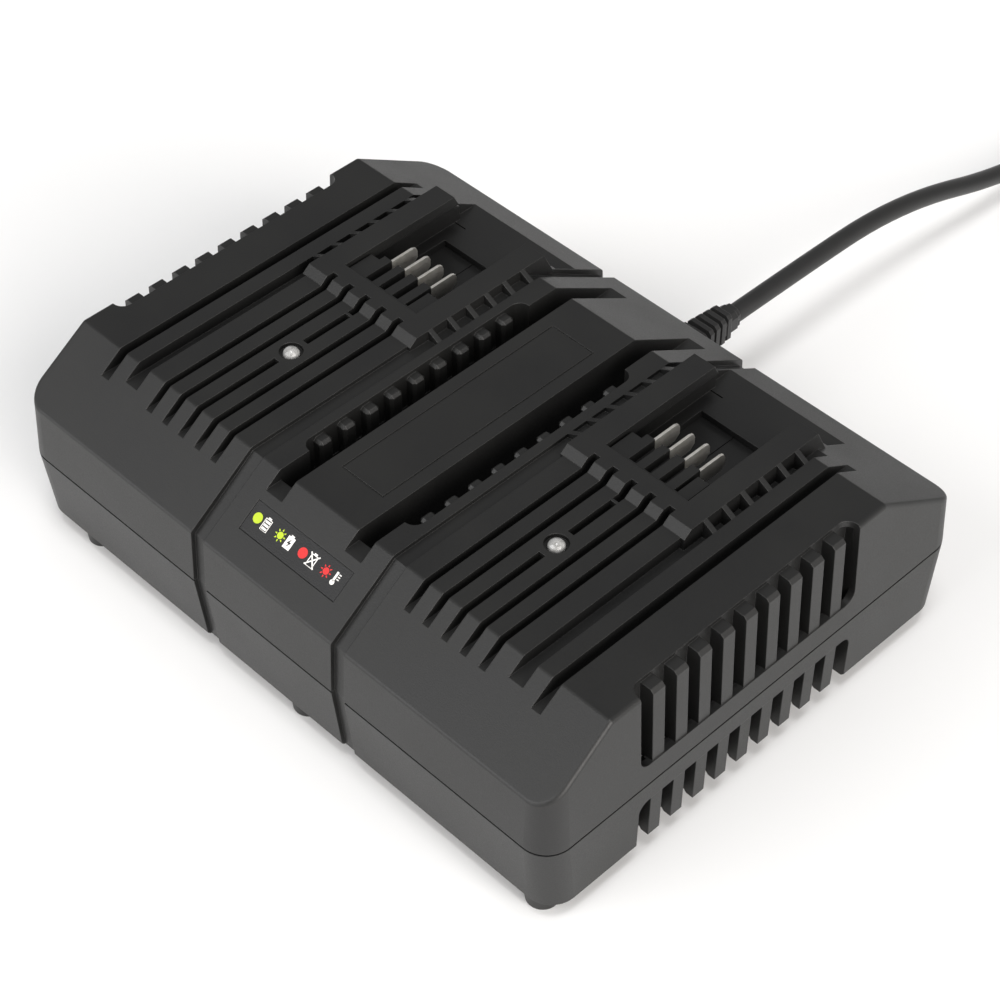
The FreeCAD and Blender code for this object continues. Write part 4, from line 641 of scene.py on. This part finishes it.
print_mark("fault_dot", [circle(fault_u, row_v, dot_radius)], print_red)
broken_window = rectangle(broken_u, row_v - wall_drop, 2.3, 3.6)
print_mark("fault_cell", [battery(broken_u, row_v), broken_window], print_white)
for number, lean in enumerate((-1, 1), 1):
    cross = stroke((broken_u - cross_half * lean, row_v - cross_low),
                   (broken_u + cross_half * lean, row_v + cross_high), cross_width)
    print_mark(f"fault_cell_stroke_{number}", [cross], print_white)
print_mark("heat_burst", burst(hot_u, row_v), print_red)
print_mark("heat_bulb", [circle(tube_u, row_v - 1.5, 0.85)], print_white)
print_mark("heat_tube", [rectangle(tube_u, row_v + 0.4, 0.8, 3.4)], print_white)
heat_ticks = [rectangle(tick_u, row_v + 1.6 - tick_pitch * step, 0.9, 0.35) for step in range(3)]
print_mark("heat_ticks", heat_ticks, print_white)

# %% [markdown]
# ## Status lens domes
# The light pipes are turned pins with a ball end and a flange that keeps them in the case. A
# lathe is the natural way to make one: a half outline is worked out from the ball's radius and
# turned about the pin's axis.

# %% Turn an outline
facets_round = 48


def turned(name, centre, outline, count=facets_round):
    """Turn a half outline of (radius, height) points about an upright axis."""
    shape = bmesh.new()
    rings = []
    for radius, height in outline:
        if radius == 0:
            rings.append([shape.verts.new((centre.x, centre.y, height))])
            continue
        rings.append([shape.verts.new((centre.x + radius * math.cos(2 * math.pi * step / count),
                                       centre.y + radius * math.sin(2 * math.pi * step / count), height))
                      for step in range(count)])
    for below, above in zip(rings, rings[1:]):
        for step in range(count):
            after = (step + 1) % count
            corners = [below[step % len(below)], below[after % len(below)],
                       above[after % len(above)], above[step % len(above)]]
            face = shape.faces.new(list(dict.fromkeys(corners)))
            face.smooth = True
    mesh = bpy.data.meshes.new(name)
    shape.to_mesh(mesh)
    shape.free()
    made = bpy.data.objects.new(name, mesh)
    bpy.context.scene.collection.objects.link(made)
    return made


print("facets round a turned piece:", facets_round)

# %% Turn the two lenses
lens_radius = 2.85 * MM
lens_seat = 72.0 * MM
ball_height = lens_radius * 0.96
flange_radius = lens_radius + 1.5 * MM
flange_height = 1.9 * MM
ball_step = 9

for side in ("left", "right"):
    low, high = (Vector(corner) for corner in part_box(side + "_status_lens"))
    centre = (low + high) / 2
    foot = low.z
    flange = [(0, foot), (flange_radius, foot), (flange_radius, foot + flange_height),
              (lens_radius, foot + flange_height)]
    ball = [(lens_radius * math.cos(math.radians(step)),
             lens_seat + ball_height * math.sin(math.radians(step))) for step in range(0, 90, ball_step)]
    dome = turned(side + "_lens_dome", centre, flange + ball + [(0, lens_seat + ball_height)])
    dress(dome, lens_resin)
    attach(dome, "root")
    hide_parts(side + "_status_lens")
    top = max(vertex.co.z for vertex in dome.data.vertices)
    print(dome.name, "top at", round(top / MM, 2), "mm")
